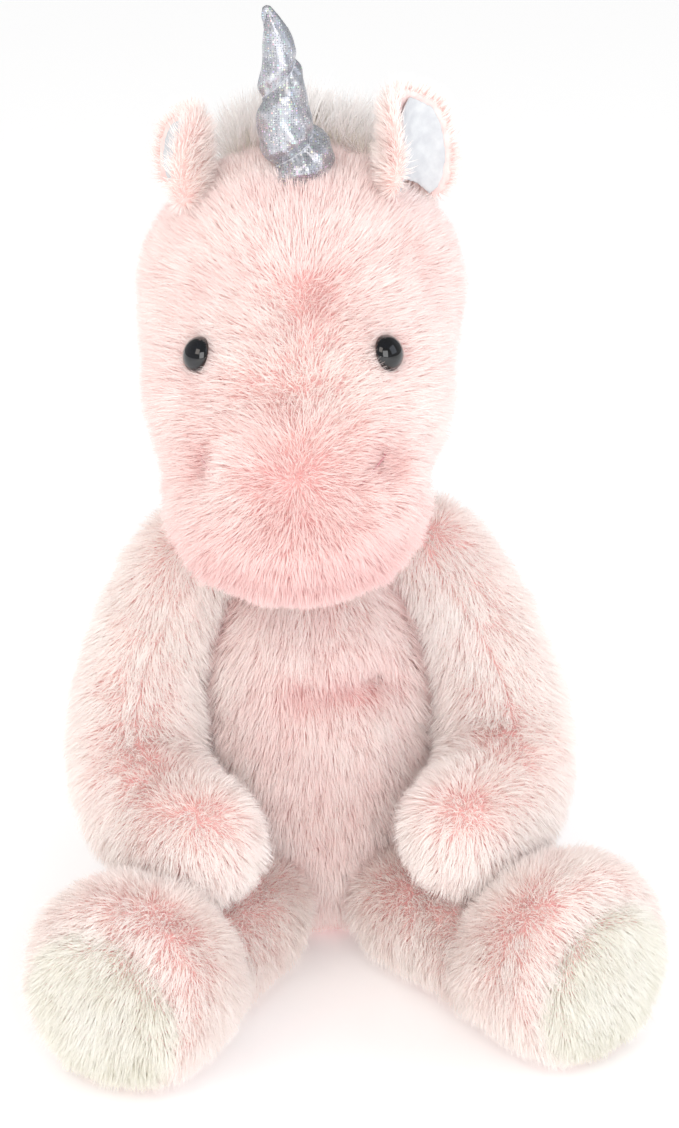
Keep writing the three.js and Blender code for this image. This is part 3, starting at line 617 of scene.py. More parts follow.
def mottled(tree, given, place):
    """A blade's own tint: the skin's, with blotches, specks and a little chance."""
    blotch = add(tree, "ShaderNodeTexNoise", {"Vector": place, "Scale": 45.0, "Detail": 2.0}).outputs[0]
    speck = add(tree, "ShaderNodeTexNoise", {"Vector": place, "Scale": 260.0, "Detail": 1.0}).outputs[0]
    shade = maths(tree, "ADD", maths(tree, "SUBTRACT", blotch, 0.5), maths(tree, "SUBTRACT", speck, 0.5))
    tint = maths(tree, "ADD", read(tree, "tint"), maths(tree, "MULTIPLY", shade, given["Mottle"]))
    return maths(tree, "ADD", tint, random_number(tree, seed_plus(tree, given, 7), -0.12, 0.12), clamp=True)


def curved(tree, along):
    """Where each corner of a grown blade goes. None goes under the floor."""
    square = maths(tree, "MULTIPLY", along, along)
    taper = maths(tree, "SUBTRACT", 1.0, maths(tree, "MULTIPLY", along, 0.5))
    path = vectors(tree, "ADD", read(tree, "root", "FLOAT_VECTOR"),
                   vectors(tree, "ADD", scaled(tree, read(tree, "aim", "FLOAT_VECTOR"), along),
                           scaled(tree, read(tree, "bend", "FLOAT_VECTOR"), square)))
    width = maths(tree, "MULTIPLY", read(tree, "across"), taper)
    offset = scaled(tree, read(tree, "side", "FLOAT_VECTOR"), width)
    return vectors(tree, "MAXIMUM", vectors(tree, "ADD", path, offset), (-9.0, -9.0, FLOOR_GAP))


def colour_map(tree, along):
    """A place on the colour map for each corner: the tint goes across, the way to the tip goes up."""
    tint = maths(tree, "MULTIPLY", read(tree, "tint"), 0.94)
    spread = maths(tree, "ADD", tint, maths(tree, "MULTIPLY", read(tree, "across"), 0.02))
    across = maths(tree, "ADD", spread, 0.03)
    upwards = maths(tree, "ADD", maths(tree, "MULTIPLY", along, 0.94), 0.03)
    return add(tree, "ShaderNodeCombineXYZ", {"X": across, "Y": upwards}).outputs[0]


def pile_tree():
    """The whole tree, from skin to realised pile."""
    tree = bpy.data.node_groups.new("Pile", "GeometryNodeTree")
    given = pile_sockets(tree)
    place = add(tree, "GeometryNodeInputPosition").outputs[0]
    points, nearest, middle = scattered(tree, given, place)
    aim, bend, side = growth_of(tree, given, place, nearest, middle)
    tint = mottled(tree, given, place)
    for name, value in (("root", place), ("aim", aim), ("bend", bend), ("side", side)):
        points = keep(tree, points, name, value, "FLOAT_VECTOR")
    points = keep(tree, points, "tint", tint)
    blades = add(tree, "GeometryNodeInstanceOnPoints", {"Points": points, "Instance": blade(tree, given)})
    real = add(tree, "GeometryNodeRealizeInstances", {"Geometry": blades.outputs[0]}).outputs[0]
    along = read(tree, "along")
    final = curved(tree, along)
    shaped = add(tree, "GeometryNodeSetPosition", {"Geometry": real, "Position": final}).outputs[0]
    mapped = keep(tree, shaped, "OFBake", colour_map(tree, along), "FLOAT2", "CORNER")
    for name in ("root", "aim", "bend", "side", "across"):
        mapped = add(tree, "GeometryNodeRemoveAttribute", {"Geometry": mapped, "Name": name}).outputs[0]
    done = add(tree, "GeometryNodeSetMaterial", {"Geometry": mapped, "Material": given["Material"]})
    out = add(tree, "NodeGroupOutput")
    tree.links.new(done.outputs[0], out.inputs[0])
    return tree


PILE = pile_tree()
PILE_SOCKETS = {item.name: item.identifier for item in PILE.interface.items_tree if item.in_out == "INPUT"}
print("pile tree with", len(PILE.nodes), "nodes")

# %% [markdown]
# A patch of skin carries the fields, and the tree turns it into pile. The patch
# itself is thrown away afterwards, and only the triangles stay.

# %% Growing pile on a patch of skin
PILE_DEFAULTS = {"Density": 2.5e6, "Width": 0.38 * MM, "Frizz": 0.32, "Swirl": 0.4, "Swirl Scale": 34.0,
                 "Tuft Gap": 7 * MM, "Tuft Pull": 0.22, "Tuft Lean": 0.12, "Droop": 0.1, "Mottle": 0.55,
                 "Segments": 2}


def set_field(mesh, name, kind, values):
    """Stores a field on a mesh's corners."""
    field = mesh.attributes.new(name, kind, "POINT")
    field.data.foreach_set("vector" if kind == "FLOAT_VECTOR" else "value", np.asarray(values, float).ravel())


def grow(name, skin, mask, fields, material, **changes):
    """Pile on the faces of a skin whose first corner is in the mask, so that panels meet."""
    faces = [tuple(f.vertices) for f in skin.data.polygons if mask[f.vertices[0]]]
    used = np.unique(np.array([i for face in faces for i in face]))
    number = np.full(len(mask), -1)
    number[used] = np.arange(len(used))
    patch = new_object(name, points_of(skin)[used], [tuple(number[list(face)]) for face in faces])
    set_field(patch.data, "up", "FLOAT_VECTOR", normals_of(skin)[used])
    set_field(patch.data, "comb", "FLOAT_VECTOR", fields["comb"][used])
    for key in ("pile", "cover", "tint"):
        set_field(patch.data, key, "FLOAT", fields[key][used])
    growth = patch.modifiers.new("Pile", "NODES")
    growth.node_group = PILE
    for key, value in {**PILE_DEFAULTS, **changes}.items():
        growth[PILE_SOCKETS[key]] = value
    growth[PILE_SOCKETS["Seed"]] = SEED * 100 + len(bpy.data.objects)
    growth[PILE_SOCKETS["Material"]] = material
    freeze(patch)
    print(name, len(patch.data.polygons), "faces")
    return patch


def along_skin(vectors_in, normals):
    """The part of each vector that lies along the skin."""
    return vectors_in - normals * (vectors_in * normals).sum(1, keepdims=True)


def unit(vectors_in):
    """Each vector at length one."""
    return vectors_in / np.maximum(np.linalg.norm(vectors_in, axis=-1, keepdims=True), 1e-9)


def near(points, place, radius):
    """A soft spot: 1 at the place, fading over the radius."""
    gap = np.linalg.norm(points - np.array(place), axis=1)
    return np.exp(-(gap / radius) ** 2)


print("growing helpers ready")

# %% [markdown]
# ## The body
# Four panels meet in seams down the front, the back and both sides, over a flat
# seat. Its top runs on up inside the head as the neck. Where the toy slumps, the
# cloth folds in a crease under the chest, and the pile parts there and shows its
# rosy roots; its tint is lowered there too, as painted shade in the crease.

# %% The stuffed body
SIDES = {"left": 1, "right": -1}
TORSO_PANELS = ["torso_front_left", "torso_front_right", "torso_back_left", "torso_back_right"]
neck = np.array(JOINTS["neck_turn"]["pos_m"])
torso_low, torso_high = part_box("torso_stuffing")
neck_ball = ball((neck[0], neck[1], torso_high.z - 8 * MM), (27 * MM, 25 * MM, 26 * MM))
torso = bag("torso_skin", TORSO_PANELS + ["seat_panel", "torso_stuffing"], [neck_ball])
close, away, panel = seam_field(torso, TORSO_PANELS, 3 * MM)
seat = (points_of(torso)[:, 2] < 6 * MM).astype(float)
stuff(torso, np.maximum(close, seat), 5 * MM)
smooth_points(torso, 2)
refine(torso)
close, away, panel = seam_field(torso, TORSO_PANELS, 2 * MM)
front = torso_low.y
creases = [((x * MM, front + 8 * MM, (121 + 0.10 * x) * MM), 7 * MM, 2.6 * MM) for x in range(-12, 33, 5)]
creases += [((x * MM, front + 30 * MM, 144 * MM), 6 * MM, 2.2 * MM) for x in range(-46, -34, 4)]
dent(torso, creases)
points = points_of(torso)
move_points(torso, points - normals_of(torso) * (0.5 * MM * close * (points[:, 2] < 175 * MM))[:, None])
points = points_of(torso)
points[:, 2] = np.maximum(points[:, 2], 0.5 * MM)
move_points(torso, points)
torso.data.materials.append(PINK_BACKING)
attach(torso, "torso")
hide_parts("torso_stuffing", "pellet_bag", "seat_panel", *TORSO_PANELS)
print("torso", len(torso.data.polygons), "faces")

# %% [markdown]
# ### Its pile
# The nap lies downwards, so the toy strokes smooth from the neck to the seat. It is
# pushed away from each seam, and kept very short under the seat.

# %% Pile on the body
def crease_field(points, spots):
    """How deep each corner lies in any of the creases, 0 to 1."""
    deep = np.zeros(len(points))
    for place, radius, _ in spots:
        deep = np.maximum(deep, near(points, place, radius * 1.3))
    return deep


def hidden_from(points, others, gap):
    """1 where other solids come nearer than the gap, 0 elsewhere."""
    corners, faces = solid_soup(others)
    tree = BVHTree.FromPolygons(corners.tolist(), faces.tolist())
    near_by = np.zeros(len(points))
    for i, point in enumerate(points):
        where, _, _, distance = tree.find_nearest(point.tolist(), gap * 3)
        if where is not None:
            near_by[i] = np.clip(2 - distance / gap, 0, 1)
    return near_by


points, normals = points_of(torso), normals_of(torso)
deep = crease_field(points, creases)
neighbours = [f"arm_{side}_{face}_panel" for side in SIDES for face in ("inner", "outer")]
neighbours += ["head_left_panel", "head_right_panel", "chin_panel"]
# Painted shade where the arms and the head lie against the body.
contact_shade = hidden_from(points, neighbours, 6 * MM)
down = np.array([0.0, -0.15, -1.0])
comb = along_skin(np.tile(down, (len(points), 1)), normals) * 0.9
comb += along_skin(away, normals) * close[:, None] * 0.08
above_seat = np.clip((points[:, 2] - 4 * MM) / (14 * MM), 0, 1)
bright = np.clip(np.abs(points[:, 0] - neck[0]) / (45 * MM), 0, 1)
# The tint paints shade into the creases, along the seams and where the arms and head lie close; it is also a
# little paler towards both sides.
torso_tone = 0.68
torso_fields = {
    "comb": comb,
    "pile": (2.0 + 7.2 * above_seat) * MM * (1 - 0.3 * deep) * (1 - 0.08 * close),
    "cover": np.clip(0.25 + above_seat, 0, 1) * (1 - 0.45 * deep),
    "tint": torso_tone - 0.45 * deep - 0.04 * close - 0.6 * contact_shade + 0.08 * bright,
}
for at, name in enumerate(TORSO_PANELS):
    mask = (panel == at) & (normals[:, 2] > -0.93)
    fur = grow(name + "_pile", torso, mask, torso_fields, PINK, Density=2.4e6 if "front" in name else 1.4e6)
    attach(fur, "torso")

# %% [markdown]
# ### The neck
# Inside the collar a short ball of stuffing fills the neck. It shows only when the
# head tips or turns, so its pile is short and rosy: its low tint is painted shade
# from the head above it.

# %% The neck
neck_skin = bag("neck_skin", ["neck_stuffing"], voxel=2.5 * MM)
neck_skin.data.materials.append(PINK_BACKING)
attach(neck_skin, "neck")
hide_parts("neck_stuffing")
normals = normals_of(neck_skin)
count = len(normals)
# Its low tint is painted shade from the head above.
neck_fields = {"comb": along_skin(np.tile(down, (count, 1)), normals) * 0.9, "pile": np.full(count, 3.0 * MM),
               "cover": np.ones(count), "tint": np.full(count, 0.35)}
fur = grow("neck_pile", neck_skin, np.ones(count, bool), neck_fields, PINK, Density=1.2e6)
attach(fur, "neck")

# %% [markdown]
# ## The limbs
# An arm is two curved panels, a leg two more and a round sole. Their roots are sewn
# into the body, so each skin is carried on a little inside it by an extra ball.

# %% Arms
def limb_fields(skin, close, away, flow, tint, length):
    """Fields for a limb whose nap lies along the given flow."""
    normals = normals_of(skin)
    return {"comb": along_skin(flow, normals) * 0.85 + along_skin(away, normals) * close[:, None] * 0.5,
            "pile": length, "cover": np.ones(len(normals)), "tint": tint}


arms = {}
for side, sign in SIDES.items():
    panels = [f"arm_{side}_outer_panel", f"arm_{side}_inner_panel"]
    shoulder = np.array(JOINTS[f"shoulder_{side}"]["pos_m"])
    arm = bag(f"arm_{side}_skin", panels + [f"arm_{side}_stuffing"],
              [ball(shoulder - np.array([sign * 4 * MM, 0, 0]), (19 * MM,) * 3)])
    close, away, _ = seam_field(arm, panels, 3 * MM)
    stuff(arm, close, 3 * MM)
    smooth_points(arm, 2)
    refine(arm)
    close, away, _ = seam_field(arm, panels, 3 * MM)
    points = points_of(arm)
    wrist = (points[:, 0].mean(), points[:, 1].min() + 22 * MM, points[:, 2].min() + 16 * MM)
    low_hand = near(points, wrist, 30 * MM)
    settle = np.array([0.0, -5.0, -3.0]) * MM
    move_points(arm, points - normals_of(arm) * (0.5 * MM * close)[:, None] + settle * low_hand[:, None])
    arm.data.materials.append(PINK_BACKING)
    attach(arm, f"arm_{side}")
    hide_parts(f"arm_{side}_stuffing", *panels)
    points = points_of(arm)
    bent = np.clip((105 * MM - points[:, 2]) / (40 * MM), 0, 1)[:, None]
    flow = (1 - bent) * np.array([0.1 * sign, -0.1, -1.0]) + bent * np.array([-0.35 * sign, -0.6, -0.75])
    neighbours = ["head_left_panel", "head_right_panel", f"leg_{side}_outer_panel", f"leg_{side}_inner_panel"]
    # The arm's tint is set high, as painted light, and falls where the arm lies close to the body, the head or
    # the leg, as painted shade.
    tuck_shade = hidden_from(points, TORSO_PANELS + neighbours, 5 * MM)
    fields = limb_fields(arm, close, away, flow, 1.0 - 0.7 * tuck_shade, np.full(len(points), 9.0 * MM))
    fur = grow(f"arm_{side}_pile", arm, np.ones(len(points), bool), fields, PINK, Density=2.1e6)
    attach(fur, f"arm_{side}")
    arms[side] = arm

# %% [markdown]
# ### Legs and soles
# The toy sits with its legs out and its feet turned up. The sole is a round of
# white plush, slightly domed by the filling, with a seam round its edge.

# %% Legs
for side, sign in SIDES.items():
    panels = [f"leg_{side}_outer_panel", f"leg_{side}_inner_panel"]
    sole_name = f"foot_{side}_sole"
    hip = np.array(JOINTS[f"hip_{side}"]["pos_m"])
    sole_low, sole_high = (np.array(v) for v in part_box(sole_name))
    sole_middle = (sole_low + sole_high) / 2
    outward = unit((sole_middle - hip) * np.array([1, 1, 0]))
    leg = bag(f"leg_{side}_skin", panels + [f"leg_{side}_stuffing", sole_name],
              [ball(hip - outward * 12 * MM, (22 * MM,) * 3)])
    every = panels + [sole_name]
    close, away, _ = seam_field(leg, every, 3 * MM)
    stuff(leg, np.maximum(close, (points_of(leg)[:, 2] < 4 * MM)), 3 * MM)
    smooth_points(leg, 2)
    refine(leg)
    close, away, panel = seam_field(leg, every, 3 * MM)
    points = points_of(leg)
    points = points - normals_of(leg) * (0.9 * MM * close)[:, None]
    points[:, 2] = np.maximum(points[:, 2], 0.6 * MM)
    move_points(leg, points)
    leg.data.materials.append(PINK_BACKING)
    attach(leg, f"leg_{side}")
    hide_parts(f"leg_{side}_stuffing", sole_name, *panels)
    points, normals = points_of(leg), normals_of(leg)
    reach = (points - hip) @ outward
    flow = np.tile(outward + np.array([0, 0, -0.25]), (len(points), 1))
    under = np.clip((points[:, 2] - 2 * MM) / (10 * MM), 0, 1)
    neighbours = [f"arm_{side}_inner_panel", f"arm_{side}_outer_panel"]
    # The leg's tint is set high, as painted light, and falls where the leg lies close to the body or the arm,
    # as painted shade.
    tuck_shade = hidden_from(points, TORSO_PANELS + neighbours, 5 * MM)
    fields = limb_fields(leg, close, away, flow, 1.0 - 0.6 * tuck_shade, (2.5 + 6.5 * under) * MM)
    fields["cover"] = 0.35 + 0.65 * under
    is_sole = panel == 2
    fur = grow(f"leg_{side}_pile", leg, ~is_sole, fields, PINK, Density=2.2e6)
    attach(fur, f"leg_{side}")
    spread = points - sole_middle
    # Painted shade: the sole's tint falls towards its rim, most on its lower part.
    rim = np.clip(np.linalg.norm(along_skin(spread, normals), axis=1) / (30 * MM), 0, 1)
    white_fields = {
        "comb": along_skin(np.tile([0.0, 0.0, -0.7], (len(points), 1)) + spread / (40 * MM) * 0.4, normals),
        "pile": (2.0 + 5.0 * under) * MM,
        "cover": 0.35 + 0.65 * under,
        "tint": 0.68 - 0.6 * rim * np.clip(0.5 - (points[:, 2] - sole_middle[2]) / (60 * MM), 0, 1),
    }
    calmer = {"Density": 3.0e6, "Tuft Pull": 0.1, "Swirl": 0.3}
    fur = grow(f"{sole_name}_pile", leg, is_sole, white_fields, WHITE, **calmer)
    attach(fur, f"leg_{side}")

# %% [markdown]
# ## The head
# The head is one stuffed bag with a long, blunt muzzle. The eyes and two stitches
# at the corners of the mouth draw the cloth in, and pull the pile about them.

# %% The stuffed head
HEAD_PANELS = ["head_crown_panel", "head_left_panel", "head_right_panel", "chin_panel"]
eyes = {side: np.array([(a + b) / 2 for a, b in zip(*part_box(f"eye_{side}"))]) for side in SIDES}
stitches = {side: np.array([(a + b) / 2 for a, b in zip(*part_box(f"muzzle_stitch_{side}"))]) for side in SIDES}
across = unit((eyes["left"] - eyes["right"]) * np.array([1, 1, 0]))
ahead = np.array([across[1], -across[0], 0.0])


def head_place(to_left, forward, height):
    """A place in the head, from the neck's axis and the way the face looks, in millimetres."""
    offset = across * to_left + ahead * forward + np.array([0, 0, height])
    return np.array([neck[0], neck[1], 0]) + offset * MM


head = bag("head_skin", HEAD_PANELS + ["head_stuffing"], voxel=3.2 * MM)
close, away, panel = seam_field(head, HEAD_PANELS, 3 * MM)
pins = close.copy()
for side in SIDES:
    pins = np.maximum(pins, near(points_of(head), eyes[side], 10 * MM))
    pins = np.maximum(pins, near(points_of(head), stitches[side], 8 * MM))
stuff(head, pins, 3 * MM)
smooth_points(head, 2)
refine(head)
points = points_of(head)
high_up = np.clip((points[:, 2] - 205 * MM) / (45 * MM), 0, 1)
before_eyes = np.clip(((points - eyes["left"]) @ ahead + 4 * MM) / (20 * MM), 0, 1)
skull = high_up ** 2 * (3 - 2 * high_up) * (1 - before_eyes)
to_side = (points - head_place(0, 0, 0)) @ across
move_points(head, points + across * (skull * (-0.05 * to_side - 1.2 * MM))[:, None])
pulls = [(eyes[side], 9 * MM, 1.5 * MM) for side in SIDES]
pulls += [(stitches["left"], 8 * MM, 3.5 * MM), (stitches["right"], 9 * MM, 2.2 * MM)]
dent(head, pulls)
close, away, panel = seam_field(head, HEAD_PANELS, 3 * MM)
head.data.materials.append(PINK_BACKING)
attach(head, "head")
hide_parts("head_stuffing", *HEAD_PANELS)
print("head", len(head.data.polygons), "faces, looking", ahead.round(3))

# %% Pile on the head
points, normals = points_of(head), normals_of(head)
brow = head_place(0, 50, 299)
snout = head_place(0, 98, 236)
whorl = {"brow": near(points, brow, 24 * MM), "snout": near(points, snout, 30 * MM)}
from_brow = unit(points - brow)
from_snout = unit(points - snout)
flow = from_snout + 0.95 * from_brow * near(points, brow, 42 * MM)[:, None] + np.array([0, 0, -0.2])
eye_gap = np.minimum(*[np.linalg.norm(points - eyes[side], axis=1) for side in SIDES])
stitch_pull = sum(near(points, stitches[side], 9 * MM) for side in SIDES)
calm = 1 - 0.35 * whorl["brow"] - 0.45 * whorl["snout"]
chin = panel == 3
# Painted shade: the tint falls where the head lies close to the body, towards the underside of the jaw and in
# the pinches at the mouth's corners. Its base is set low to darken the whole head against the strong light on
# it, which is painted shade too, and it is paler on the bridge of the nose.
shoulder_shade = hidden_from(points, TORSO_PANELS, 9 * MM)
under_jaw_shade = np.clip((226 * MM - points[:, 2]) / (30 * MM), 0, 1)
head_fields = {
    "comb": along_skin(flow, normals) * 0.75 * calm[:, None],
    "pile": 8.6 * MM * (1 - 0.45 * np.exp(-(eye_gap / (9 * MM)) ** 2)) * (1 - 0.45 * stitch_pull)
    * np.where(chin, 0.7, 1.0) * (1 - 0.15 * whorl["brow"] - 0.15 * whorl["snout"]),
    "cover": 1 - 0.1 * whorl["brow"] - 0.1 * whorl["snout"],
    "tint": 0.66 - 0.12 * whorl["snout"] - 0.45 * stitch_pull - 0.5 * shoulder_shade - 0.5 * under_jaw_shade
    + 0.3 * near(points, head_place(0, 75, 272), 26 * MM),
}
for at, name in enumerate(HEAD_PANELS):
    changes = {"Frizz": 0.38, "Mottle": 0.5, "Density": 2.8e6, "Width": 0.33 * MM, "Tuft Pull": 0.15}
    if name == "chin_panel":
        changes = {"Frizz": 0.08, "Mottle": 0.3, "Tuft Pull": 0.2, "Tuft Lean": 0.08, "Swirl": 0.2}
    fur = grow(name + "_pile", head, panel == at, head_fields, PINK, **changes)
    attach(fur, "head")

# %% [markdown]
# ## The eyes
# Safety eyes are glossy black domes on a shank that is locked inside by a washer.
# A dome is turned from a profile, so it is made as one: rings round the axis.

# %% Eyes
BLACK, black_tree, black_shader = surface("black acrylic", Roughness=0.06, IOR=1.49, Coat_Weight=0.6,
                                          Coat_Roughness=0.03)
eye_place = add(black_tree, "ShaderNodeTexCoord").outputs["Object"]
eye_cloud = add(black_tree, "ShaderNodeTexNoise", {"Vector": eye_place, "Scale": 160.0}).outputs[0]
black_tree.links.new(ramp(black_tree, eye_cloud, [(0.35, "#050506"), (0.7, "#14161c")]),
                     black_shader.inputs["Base Color"])


def turned(name, base, axis, profile, material, columns=40):
    """A solid of revolution from (radius, height) pairs along an axis, closed at both ends."""
    axis = unit(np.array(axis, float))
    sideways = unit(np.cross(axis, [0.3, 0.9, 0.2]))
    other = np.cross(axis, sideways)
    corners = []
    for radius, height in profile:
        corners += ring(base + axis * height, sideways, other, radius, columns)
    faces = ring_faces(len(profile) - 1, columns)
    faces.append(tuple(reversed(range(columns))))
    faces.append(tuple((len(profile) - 1) * columns + column for column in range(columns)))
    return new_object(name, corners, faces, material)


head_tree = BVHTree.FromPolygons(points_of(head).tolist(), [tuple(f.vertices) for f in head.data.polygons])
for side in SIDES:
    solid, _ = solid_soup([f"eye_{side}"])
    centre = solid.mean(0)
    axis = np.linalg.svd(solid - centre)[2][0]
    middle_of_head = head_place(0, 22, 257)
    axis = axis * np.sign(axis @ (centre - middle_of_head))
    sign = SIDES[side]
    heights = (solid - centre) @ axis
    radii = np.linalg.norm(solid - centre - heights[:, None] * axis, axis=1)
    rim = radii.max()
    back = heights[radii > 0.98 * rim].min()
    front_height = heights.max() - back
    profile = [(rim * 0.32, -5 * MM), (rim * 0.32, -0.05 * MM), (rim * 0.97, 0.0)]
    profile += [(rim * math.cos(a), 0.5 * MM + (front_height - 0.5 * MM) * math.sin(a))
                for a in np.linspace(0, math.pi / 2 * 0.985, 14)]
    seat = centre + axis * (back - 1.3 * MM)
    eye = turned(f"eye_{side}_dome", seat, axis + across * sign * 0.75, profile, BLACK)
    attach(eye, "head")
    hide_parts(f"eye_{side}", f"eye_washer_{side}")
    print(eye.name, "radius", round(rim / MM, 2), "mm")

# %% [markdown]
# ### The mouth stitches
# A short bar of pink thread at each corner of the mouth, pulled tight.

# %% Mouth stitches
def thread_surface(name, pale, deep):
    """Twisted thread: fine slanted ridges, drawn only as light and dark bands, the dark ones painted shade
    between the twists.
    """
    material, tree, shader = surface(name, Roughness=0.6, IOR=1.5, Sheen_Weight=0.2)
    place = add(tree, "ShaderNodeTexCoord").outputs["Object"]
    ridges = add(tree, "ShaderNodeTexWave", {"Vector": place, "Scale": 900.0, "Distortion": 1.0})
    tree.links.new(ramp(tree, ridges.outputs["Fac"], [(0.2, deep), (0.8, pale)]), shader.inputs["Base Color"])
    return material


PINK_THREAD = thread_surface("pink polyester thread", "#dba0a4", "#a8606c")
STITCH_RADIUS = 0.45 * MM
STITCH_ROWS, STITCH_COLUMNS = 12, 8
for side in SIDES:
    name = f"muzzle_stitch_{side}"
    solid, _ = solid_soup([name])
    centre = solid.mean(0)
    axis = np.linalg.svd(solid - centre)[2][0]
    half = np.abs((solid - centre) @ axis).max()
    _, normal, _, _ = head_tree.find_nearest(centre.tolist())
    normal = np.array(normal)
    corners = []
    for row in range(STITCH_ROWS + 1):
        place = row / STITCH_ROWS * 2 - 1
        spot = centre + axis * half * place - normal * (1.5 + 2.5 * place * place) * MM
        corners += ring(spot, normal, np.cross(axis, normal), STITCH_RADIUS, STITCH_COLUMNS)
    faces = ring_faces(STITCH_ROWS, STITCH_COLUMNS)
    faces.append(tuple(range(STITCH_COLUMNS)))
    faces.append(tuple(reversed(range(len(corners) - STITCH_COLUMNS, len(corners)))))
    bar = new_object(f"{name}_thread", corners, faces, PINK_THREAD)
    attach(bar, "head")
    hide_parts(name)
print("stitches ready")

# %% [markdown]
# ## The horn
# The horn is a cone of silver cloth, stuffed, and wound with thread that bites in
# and gathers the cloth, so it bulges between the turns and leans a little. A cone
# on a grid, with a groove that follows the thread's helix, gives bulges and thread
# from one formula.

# %% Horn cloth
def holographic(name):
    """Silver foil cloth: a fine net of dots that each throw their own pale colour."""
    material, tree, shader = surface(name, Roughness=0.3, Metallic=0.6, IOR=1.5)
    place = add(tree, "ShaderNodeTexCoord").outputs["Object"]
    dots = add(tree, "ShaderNodeTexVoronoi", {"Vector": place, "Scale": 1150.0, "Randomness": 0.35})
    spot = add(tree, "ShaderNodeMapRange", {"Value": dots.outputs["Distance"], "From Min": 0.30,
                                            "From Max": 0.48, "To Min": 1.0, "To Max": 0.0}).outputs[0]
    hue = add(tree, "ShaderNodeSeparateColor", {0: dots.outputs["Color"]})
    pale = maths(tree, "MULTIPLY", hue.outputs[1], 0.42)
    glint = add(tree, "ShaderNodeCombineColor", {0: hue.outputs[0], 1: pale, 2: 1.0}, mode="HSV").outputs[0]
    patches = add(tree, "ShaderNodeTexNoise", {"Vector": place, "Scale": 120.0}).outputs[0]
    ground = ramp(tree, patches, [(0.3, "#9fa2ab"), (0.7, "#c6c8cf")])
    chance = add(tree, "ShaderNodeMapRange", {"Value": hue.outputs[2], "From Min": 0.35, "From Max": 0.9,
                                              "To Min": 0.15, "To Max": 1.0}).outputs[0]
    lit = maths(tree, "MULTIPLY", spot, chance)
    mixed = add(tree, "ShaderNodeMix", {"Factor": lit, 6: ground, 7: glint}, data_type="RGBA").outputs[2]
    pores = add(tree, "ShaderNodeTexVoronoi", {"Vector": place, "Scale": 1050.0, "Randomness": 0.45})
    pore = add(tree, "ShaderNodeMapRange", {"Value": pores.outputs["Distance"], "From Min": 0.16,
                                            "From Max": 0.34, "To Min": 1.0, "To Max": 0.0}).outputs[0]
    pricked = add(tree, "ShaderNodeMix", {"Factor": maths(tree, "MULTIPLY", pore, 0.75), 6: mixed,
                                          7: linear("#4d5058")}, data_type="RGBA").outputs[2]
    tree.links.new(pricked, shader.inputs["Base Color"])
    weave = add(tree, "ShaderNodeBump", {"Height": dots.outputs["Distance"], "Strength": 0.35,
                                         "Distance": 0.15 * MM})
    tree.links.new(weave.outputs[0], shader.inputs["Normal"])
    return material


SILVER = holographic("holographic silver cloth")
SILVER_THREAD = thread_surface("silver metallic thread", "#d9dbe0", "#8f929a")
print("horn cloth ready")

# %% The horn
horn_root = np.array(JOINTS["horn_wobble"]["pos_m"])
solid, _ = solid_soup(["horn_cover"])
horn_tip = solid[solid[:, 2].argmax()]
horn_axis = unit(horn_tip - horn_root)
horn_length = float(np.linalg.norm(horn_tip - horn_root))
horn_side = unit(np.cross([0.0, 1.0, 0.0], horn_axis))
horn_front = np.cross(horn_axis, horn_side)
TURNS = 2.45
START = 0.30
HORN_RADII = [(0.0, 10.6), (0.08, 12.9), (0.2, 13.0), (0.36, 10.4), (0.5, 9.4), (0.62, 8.0), (0.74, 6.4),
              (0.86, 5.0), (0.94, 3.4), (1.0, 1.5)]
GROOVE_WIDTH = 0.052
HORN_SINK = 4.5 * MM
HORN_SHORTER = 2.5 * MM
WINDING_RADIUS = 0.38 * MM
WINDING_STEPS, WINDING_SIDES = 190, 6


def horn_phase(rise, turn):
    """How far, in turns, a place on the horn is from the thread."""
    phase = rise * TURNS + START - turn / (2 * math.pi)
    return phase - np.round(phase)


def horn_centre(rise):
    """The centre line, which weaves from side to side as the thread pulls."""
    weave = (1.9 * math.sin(2 * math.pi * (rise * TURNS * 0.62 + 0.1)) * (1 - 0.4 * rise)) * MM
    height = rise * (horn_length - HORN_SHORTER) - HORN_SINK * (1 - rise)
    return horn_root + horn_axis * height + horn_side * weave


def horn_radius(rise, turn):
    """The cloth's distance from the centre line: cone, groove and gathers."""
    cone = np.interp(rise, *zip(*HORN_RADII)) * MM
    gap = horn_phase(rise, turn) / TURNS
    groove = math.exp(-(gap / GROOVE_WIDTH) ** 2)
    near_groove = math.exp(-(gap / (2.1 * GROOVE_WIDTH)) ** 2)
    gathers = 0.045 * near_groove * math.sin(13 * turn + 9 * rise) + 0.03 * math.sin(5 * turn + 31 * rise)
    return cone * (1.05 - 0.34 * groove + gathers * (1 - 0.5 * rise))


ROWS, COLUMNS = 150, 96
corners = []
for row in range(ROWS + 1):
    rise = row / ROWS
    for column in range(COLUMNS):
        turn = 2 * math.pi * column / COLUMNS
        out = horn_side * math.cos(turn) + horn_front * math.sin(turn)
        corners.append(horn_centre(rise) + out * horn_radius(rise, turn))
corners.append(horn_centre(1.0) + horn_axis * 0.8 * MM)
corners.append(horn_centre(0.0))
faces = ring_faces(ROWS, COLUMNS)
for column in range(COLUMNS):
    after = (column + 1) % COLUMNS
    faces.append((ROWS * COLUMNS + column, ROWS * COLUMNS + after, (ROWS + 1) * COLUMNS))
    faces.append((after, column, (ROWS + 1) * COLUMNS + 1))
horn = new_object("horn_cloth", corners, faces, SILVER)
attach(horn, "horn")
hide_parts("horn_cover", "horn_stuffing")

